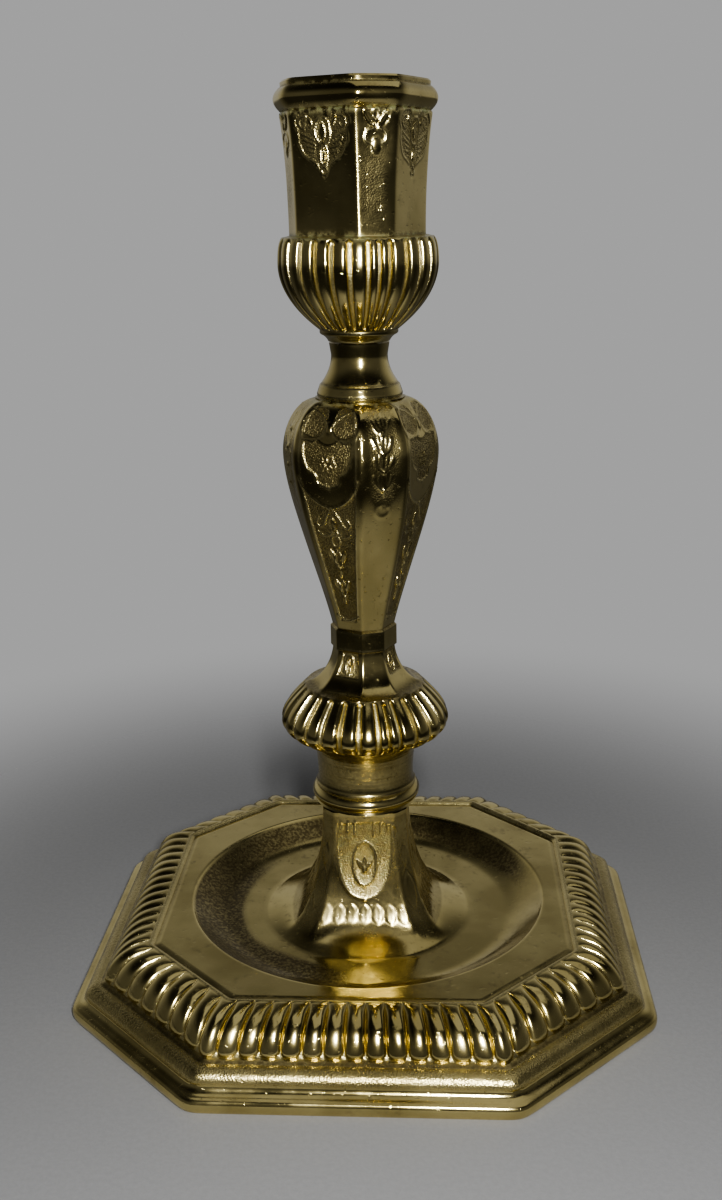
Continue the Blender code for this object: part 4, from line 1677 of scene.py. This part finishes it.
    def middle_rings(self) -> list[Ring]:
        """Shape the round rings: into the well, up the pillar, and down the hollow under them.

        Returns:
            The rings, in order.
        """
        bearing = np.arange(self.pillar_steps) * math.tau / self.pillar_steps
        plain = np.zeros(self.pillar_steps)
        compass = np.column_stack([np.cos(bearing), np.sin(bearing)])
        rings = []

        def keep(radius: np.ndarray, z: float, skin: Chasing) -> None:
            """Add one ring."""
            points = np.column_stack([compass * radius[:, None], plain + z])
            rings.append(Ring(points, skin.grain, skin.dark, 0.3 * skin.grain, skin.pale))

        for radius, z in self.well_rows():
            skin = Chasing(plain, plain)
            # Painted dark reflections, with tarnish, in the well.
            skin.dark = self.well_dark_reflection_and_tarnish(bearing, radius)
            keep(plain + radius, z, skin)
        local = bearing - math.pi / 4
        height = 0.0
        before = self.pillar_rows()[0]
        for radius, z in self.pillar_rows():
            height += math.dist(before, (radius, z)) / MM
            before = (radius, z)
            facet = float(smoothstep(self.pillar[0] - 0.0008, self.pillar[0] - 0.0065,
                                     np.array(radius)))
            eight = facet_factor(local, plain + math.radians(18.0), 90.0)
            shaped = radius * (1.0 + facet * (eight - 1.0))
            skin = self.pillar_skin(bearing, shaped, height)
            keep(shaped + skin.height * MM, z, skin)
        for radius, z in self.under_rows():
            skin = Chasing(plain, plain)
            skin.dark = plain + 0.8
            keep(plain + radius, z, skin)
        return rings

    def well_dark_reflection_and_tarnish(self, bearing: np.ndarray, radius: float) -> np.ndarray:
        """Darken the well in patches: painted dark reflections of the room, with tarnish.

        Args:
            bearing: Bearing of each point.
            radius: The ring's radius.

        Returns:
            How dark each point is, from 0 to 1.
        """
        rim, floor, _ = self.well
        if radius > rim - 0.0006:
            return np.zeros_like(bearing)
        degrees = np.degrees(np.mod(bearing, math.tau))
        across = (radius - floor) / (rim - floor)

        def patch(middle: float, width: float, low: float, high: float) -> np.ndarray:
            """A dark patch round a bearing, between two shares of the slope."""
            near = np.exp(-((degrees - middle) / width) ** 2)
            soft = 0.25
            inside = smoothstep(low - soft, low + soft, np.array(across))
            return near * inside * smoothstep(high + soft, high - soft, np.array(across))

        # Painted reflection: dark patches left, behind and in front, where the well reflects the
        # dark room, with tarnish; a faint darkening down the slope.
        left = patch(188.0, 44.0, -0.30, 0.95)
        rear = patch(48.0, 30.0, 0.35, 0.95) + patch(120.0, 30.0, 0.45, 0.9)
        front = patch(243.0, 20.0, -0.55, 0.35) + 0.7 * patch(255.0, 40.0, 0.5, 0.9)
        faint = 0.18 * smoothstep(0.0, 0.3, np.array(across))
        return np.clip(smoothstep(0.12, 0.62, left + rear + front) + faint, 0.0, 1.0)

    def pillar_skin(self, bearing: np.ndarray, shaped: np.ndarray, height: float) -> Chasing:
        """Worn hanging cloths with shells on the wide facets, and leaves on the narrow ones.

        Args:
            bearing: Bearing of each point of the ring.
            shaped: Its radius.
            height: Millimetres up the pillar's skin from its foot.

        Returns:
            The ring's relief and layers.
        """
        across = np.mod(bearing + math.pi / 4, math.pi / 2) - math.pi / 4
        panel = Chasing(shaped * np.sin(across) / MM, np.full_like(bearing, height))
        if not 4.5 < height < 33.0:
            return panel
        cloth = [(-6.4, 31.0), (-6.6, 25.0), (-5.6, 18.5), (-3.2, 14.4), (0.0, 13.0)]
        whole = [*cloth, *[(-x, y) for x, y in reversed(cloth[:-1])]]
        panel.ground(panel.area(whole), 0.16)
        for line in panel.both_sides(cloth):
            panel.stroke(line, 0.75, 0.34)
        oval = [(2.7 * math.sin(t), 21.5 + 5.2 * math.cos(t)) for t in np.linspace(0, math.tau, 17)]
        panel.stroke(oval, 0.7, 0.30)
        for turn in (-36.0, 0.0, 36.0):
            panel.leaf((1.2 * math.sin(math.radians(turn)), 19.6 + 1.6 * math.cos(
                math.radians(turn))), (0.7, 2.2), -turn, 0.30)
        for side in (-1.0, 1.0):
            for place in (2.2, 3.8, 5.4):
                panel.stroke([(side * place, 31.5), (side * place, 27.2 + 0.5 * place)], 0.6, 0.24)
        for place in (-9.0, -6.0, -3.0, 0.0, 3.0, 6.0, 9.0):
            panel.leaf((place, 9.3), (1.6, 2.7), place * 1.5, 0.24)
        corner = np.mod(bearing, math.pi / 2) - math.pi / 4
        slip = Chasing(shaped * np.sin(corner) / MM, panel.v)
        slip.leaf((0.0, 14.5), (1.7, 4.8), 0.0, 0.40)
        slip.leaf((0.0, 23.0), (0.9, 2.8), 0.0, 0.24)
        worn = 0.55 + 0.45 * np.sin(bearing * 5.0 + 1.0) * math.sin(height * 0.31)
        panel.height = 0.6 * (panel.height + slip.height) * worn
        panel.dark = 0.9 * np.maximum(panel.dark, slip.dark)
        panel.dark = np.maximum(panel.dark, 0.50 * panel.grain)
        skirt = math.exp(-((height - 9.0) / 4.5) ** 2)
        panel.dark = np.maximum(panel.dark, 0.36)
        panel.dark = np.maximum(panel.dark, skirt * (0.35 + 0.25 * np.sin(bearing * 16.0)))
        panel.pale *= 0.35
        panel.grain *= 0.7
        return panel

    def tube(self, name: str, rings: list[Ring]) -> bpy.types.Object:
        """A tube through rings of equal count, extruded from a circle and then placed.

        Args:
            name: Name of the new piece.
            rings: The rings, in order.

        Returns:
            The tube, open at both ends, with its layers.
        """
        deselect_all()
        count = len(rings[0].points)
        bpy.ops.mesh.primitive_circle_add(vertices=count, radius=10 * MM, fill_type="NOTHING")
        piece = bpy.context.active_object
        piece.name = piece.data.name = name
        bpy.ops.object.mode_set(mode="EDIT")
        bpy.ops.mesh.select_mode(type="VERT")
        bpy.ops.mesh.select_all(action="SELECT")
        for _ in rings[1:]:
            bpy.ops.mesh.extrude_region_move(TRANSFORM_OT_translate={"value": (0.0, 0.0, MM)})
        bpy.ops.object.mode_set(mode="OBJECT")
        blank = points_of(piece)
        bearing = np.mod(np.arctan2(blank[:, 1], blank[:, 0]) + 1e-4, math.tau)
        order = np.lexsort((bearing, np.rint(blank[:, 2] / MM)))
        placed = np.empty_like(blank)
        placed[order] = np.concatenate([ring.points for ring in rings])
        set_points(piece, placed)
        for layer in ("grain", "dark", "green", "pale"):
            values = np.empty(len(blank))
            values[order] = np.concatenate([getattr(ring, layer) for ring in rings])
            write_layer(piece, layer, values)
        return piece

    def bridge_at(self, piece: bpy.types.Object, level: float) -> None:
        """Join the two open loops that lie at one height.

        Args:
            piece: The casting.
            level: The loops' height.
        """
        work_on(piece)
        bpy.ops.object.mode_set(mode="EDIT")
        bpy.ops.mesh.select_mode(type="VERT")
        bpy.ops.mesh.select_all(action="DESELECT")
        bpy.ops.mesh.select_non_manifold(extend=False)
        bpy.ops.object.mode_set(mode="OBJECT")
        chosen = [v.select and abs(v.co.z - level) < 1e-5 for v in piece.data.vertices]
        for edge in piece.data.edges:
            edge.select = edge.select and chosen[edge.vertices[0]] and chosen[edge.vertices[1]]
        for vertex, keep in zip(piece.data.vertices, chosen):
            vertex.select = keep
        bpy.ops.object.mode_set(mode="EDIT")
        bpy.ops.mesh.select_mode(type="EDGE")
        bpy.ops.mesh.bridge_edge_loops()
        bpy.ops.object.mode_set(mode="OBJECT")


# ---------------------------------------------------------------------------------------------
# Screw and peg
# ---------------------------------------------------------------------------------------------
@dataclass
class StemScrew:
    """The threaded plug that is brazed into the stem and screws into the foot."""

    foot_z: float = STEM_Z
    radius: float = 0.0050
    length: float = 0.0120
    plug_radius: float = 0.0067
    plug_length: float = 0.0095
    pitch: float = 0.0020
    depth: float = 0.0009
    steps: int = 96

    def build(self) -> bpy.types.Object:
        """Turn the plug and cut its thread.

        Returns:
            The finished screw.
        """
        rise = 0.0001
        rows = [(1e-6, -self.length)]
        rows += [(r, -self.length) for r in (0.002, 0.0036)]
        rows += [(self.radius, z) for z in np.arange(-self.length + 0.0005, -0.0002, rise)]
        rows += [(self.radius - 0.0006, -0.0001), (self.radius - 0.0006, 0.0),
                 (self.plug_radius - 0.0002, 0.0), (self.plug_radius, 0.0002),
                 (self.plug_radius, self.plug_length - 0.0003),
                 (self.plug_radius - 0.0003, self.plug_length), (1e-6, self.plug_length)]
        piece = draw_profile("screw_plug", np.array([(r, 0.0, z) for r, z in rows]))
        spin(piece, self.steps, math.tau)
        points = points_of(piece)
        angle = np.arctan2(points[:, 1], points[:, 0])
        radius, z = np.hypot(points[:, 0], points[:, 1]), points[:, 2]
        turn = np.mod(z / self.pitch - angle / math.tau, 1.0)
        valley = smoothstep(0.12, 0.40, np.abs(turn - 0.5) * 2.0)
        threaded = (radius > self.radius - 1e-5) & (z < -0.00015) & (z > -self.length + 0.0004)
        lead = smoothstep(-self.length + 0.0002, -self.length + 0.0016, z)
        cut = np.where(threaded, self.depth * (1.0 - valley * lead), 0.0)
        scale = np.where(radius > 1e-5, (radius - cut) / np.maximum(radius, 1e-6), 1.0)
        points[:, 0] *= scale
        points[:, 1] *= scale
        points[:, 2] += self.foot_z
        set_points(piece, points)
        write_layer(piece, "grain", np.where(threaded, 0.25, 0.1))
        write_layer(piece, "dark", np.where(threaded, 0.75 * (1.0 - valley), 0.15))
        write_layer(piece, "green", np.where(threaded, 0.3 * (1.0 - valley), 0.0))
        write_layer(piece, "pale", np.where(threaded, 0.4 * valley, 0.0))
        piece.data.attributes.remove(piece.data.attributes["row"])
        close_and_face_out(piece)
        dress(piece, Finish.PLAIN, "screw", "stem_screw")
        return piece


@dataclass
class SocketPeg:
    """The peg that holds the socket on the stem; its dished head is the candle's floor."""

    foot_z: float = SOCKET_Z
    radius: float = 0.0039
    length: float = 0.0113
    head_radius: float = 0.0103
    head_z: float = 0.0094
    head: float = 0.0022
    steps: int = 96

    def build(self) -> bpy.types.Object:
        """Turn the peg.

        Returns:
            The finished peg.
        """
        top = self.head_z + self.head
        rows = [(1e-6, -self.length), (self.radius - 0.0006, -self.length),
                (self.radius, -self.length + 0.0006), (self.radius, self.head_z),
                (self.head_radius - 0.0003, self.head_z), (self.head_radius, self.head_z + 0.0003),
                (self.head_radius, top - 0.0003), (self.head_radius - 0.0003, top)]
        rows += [(r, top - 0.00035 * math.sin(math.pi * r / self.head_radius)
                  - (0.00012 if i % 3 == 0 else 0.0))
                 for i, r in enumerate(np.linspace(0.0096, 0.0005, 24))]
        rows.append((1e-6, top - 0.0001))
        piece = draw_profile("peg", np.array([(r, 0.0, z) for r, z in rows]))
        spin(piece, self.steps, math.tau)
        points = points_of(piece)
        radius = np.hypot(points[:, 0], points[:, 1])
        rings = 0.5 + 0.5 * np.sin(radius / MM * 9.0)
        points[:, 2] += self.foot_z
        set_points(piece, points)
        write_layer(piece, "grain", 0.3 + 0.2 * rings)
        write_layer(piece, "dark", 0.45 + 0.35 * rings)
        write_layer(piece, "green", 0.2 * rings)
        write_layer(piece, "pale", 0.0 * rings)
        piece.data.attributes.remove(piece.data.attributes["row"])
        close_and_face_out(piece)
        dress(piece, Finish.PLAIN, "stem", "socket_peg")
        return piece


# ---------------------------------------------------------------------------------------------
# Stage, lights and camera
# ---------------------------------------------------------------------------------------------
@dataclass(frozen=True)
class Lamp:
    """One oblong soft light, aimed at a point, and its power in watts."""

    name: str
    place: tuple[float, float, float]
    aim: tuple[float, float, float]
    size: tuple[float, float]
    power: float

    def build(self) -> None:
        """Hang the lamp, unseen by the camera."""
        deselect_all()
        bpy.ops.object.light_add(type="AREA", location=self.place)
        lamp = bpy.context.active_object
        lamp.name = self.name
        lamp.data.shape = "RECTANGLE"
        lamp.data.size, lamp.data.size_y = self.size
        lamp.data.energy = self.power
        lamp.visible_camera = False
        toward = Vector(self.aim) - Vector(self.place)
        lamp.rotation_euler = toward.to_track_quat("-Z", "Y").to_euler()


@dataclass
class Studio:
    """A pale floor that fades into a pale room, soft lights and the camera."""

    room: float = 0.36
    floor_tone: tuple[float, float, float] = (0.27, 0.27, 0.27)
    camera_at: tuple[float, float, float] = (0.0156, -0.2834, 0.17345)
    heading: float = 0.0567
    pitch_down: float = 0.2931
    roll: float = -0.0158
    lens: float = 39.32
    # How bright the brass sees the room: axis, from and to along it, and the shares there.
    falloff: tuple[tuple[str, float, float, float, float], ...] = (
        ("Y", -0.10, 0.80, 0.085, 0.35), ("Z", 0.30, 0.75, 1.0, 0.12),
        ("Z", -0.10, 0.02, 0.25, 1.0))
    lamps: tuple[Lamp, ...] = (
        Lamp("front_light", (0.0355, -0.2730, 0.2020), (0.0, 0.0, 0.10), (0.016, 0.080), 1.15),
        Lamp("top_light", (0.20, 0.10, 1.10), (0.0, 0.0, 0.05), (1.0, 1.0), 1.2))

    def build(self) -> None:
        """Set up everything round the candlestick."""
        self.floor()
        self.world()
        self.camera()
        for lamp in self.lamps:
            lamp.build()

    def floor(self) -> None:
        """A wide disc of paper that turns clear towards its edge."""
        deselect_all()
        bpy.ops.mesh.primitive_circle_add(vertices=96, radius=1.2, fill_type="NGON")
        disc = bpy.context.active_object
        disc.name = "paper_floor"
        material = bpy.data.materials.new("grey_paper")
        material.use_nodes = True
        bench = NodeBench(material)
        fibres = bench.noise(900.0, 4.0, 0.7)
        tone = bench.mix(bench.ramp(fibres, 0.3, 0.7), self.floor_tone,
                         tuple(0.93 * value for value in self.floor_tone))
        bench.link(tone, bench.shader.inputs["Base Color"])
        bench.shader.inputs["Roughness"].default_value = 0.9
        bench.link(bench.bump(fibres, 0.00006), bench.shader.inputs["Normal"])
        length = bench.nodes.new("ShaderNodeVectorMath")
        length.operation = "LENGTH"
        bench.link(bench.coordinates, length.inputs[0])
        split = bench.nodes.new("ShaderNodeSeparateXYZ")
        bench.link(bench.coordinates, split.inputs[0])
        outwards = bench.ramp(length.outputs["Value"], 0.080, 0.24, 1.0, 0.0)
        forwards = bench.ramp(split.outputs["Y"], -0.16, -0.10)
        bench.link(bench.maths("MULTIPLY", outwards, forwards), bench.shader.inputs["Alpha"])
        disc.data.materials.append(material)

    def world(self) -> None:
        """A pale room; the brass sees it dark in front and overhead."""
        world = bpy.data.worlds.new("room")
        world.use_nodes = True
        bpy.context.scene.world = world
        nodes, links = world.node_tree.nodes, world.node_tree.links
        background = nodes["Background"]
        coordinates = nodes.new("ShaderNodeTexCoord")
        split = nodes.new("ShaderNodeSeparateXYZ")
        links.new(coordinates.outputs["Generated"], split.inputs[0])
        shares = []
        for axis, low, high, at_low, at_high in self.falloff:
            node = nodes.new("ShaderNodeMapRange")
            node.interpolation_type = "SMOOTHSTEP"
            for socket, number in (("From Min", low), ("From Max", high),
                                   ("To Min", at_low), ("To Max", at_high)):
                node.inputs[socket].default_value = number
            links.new(split.outputs[axis], node.inputs["Value"])
            shares.append(node.outputs["Result"])
        for share in shares[1:]:
            product = nodes.new("ShaderNodeMath")
            product.operation = "MULTIPLY"
            links.new(shares[0], product.inputs[0])
            links.new(share, product.inputs[1])
            shares[0] = product.outputs[0]
        path = nodes.new("ShaderNodeLightPath")
        pick = nodes.new("ShaderNodeMix")
        pick.data_type = "FLOAT"
        links.new(path.outputs["Is Camera Ray"], pick.inputs["Factor"])
        links.new(shares[0], pick.inputs[2])
        pick.inputs[3].default_value = self.room
        tint = nodes.new("ShaderNodeCombineColor")
        for channel in ("Red", "Green", "Blue"):
            links.new(pick.outputs[0], tint.inputs[channel])
        links.new(tint.outputs[0], background.inputs["Color"])

    def camera(self) -> bpy.types.Object:
        """Set up the camera, a little above the socket and looking down.

        Returns:
            The camera.
        """
        deselect_all()
        bpy.ops.object.camera_add(location=self.camera_at)
        camera = bpy.context.active_object
        turn = (Matrix.Rotation(self.heading, 4, "Z")
                @ Matrix.Rotation(math.pi / 2 - self.pitch_down, 4, "X")
                @ Matrix.Rotation(self.roll, 4, "Z"))
        camera.matrix_world = Matrix.Translation(self.camera_at) @ turn
        camera.data.lens = self.lens
        camera.data.sensor_width = 36.0
        camera.data.clip_start = 0.01
        bpy.context.scene.camera = camera
        bpy.context.view_layer.update()
        return camera


def main() -> None:
    """Build every piece, then the studio."""
    logging.basicConfig(level=logging.INFO, format="%(name)s: %(message)s")
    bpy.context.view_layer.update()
    Foot().build()
    StemScrew().build()
    Stem("stem", STEM_Z, STEM_TURN, Finish.STEM, "stem_brass", steps=208, pitch=0.00035).build()
    Socket("socket", SOCKET_Z, SOCKET_TURN, Finish.SOCKET, "socket_brass", seed=8).build()
    SocketPeg().build()
    Studio().build()
    bpy.context.scene.view_settings.view_transform = "AgX"
    bpy.context.scene.view_settings.look = "AgX - Medium High Contrast"
    deselect_all()


if __name__ == "__main__":
    main()
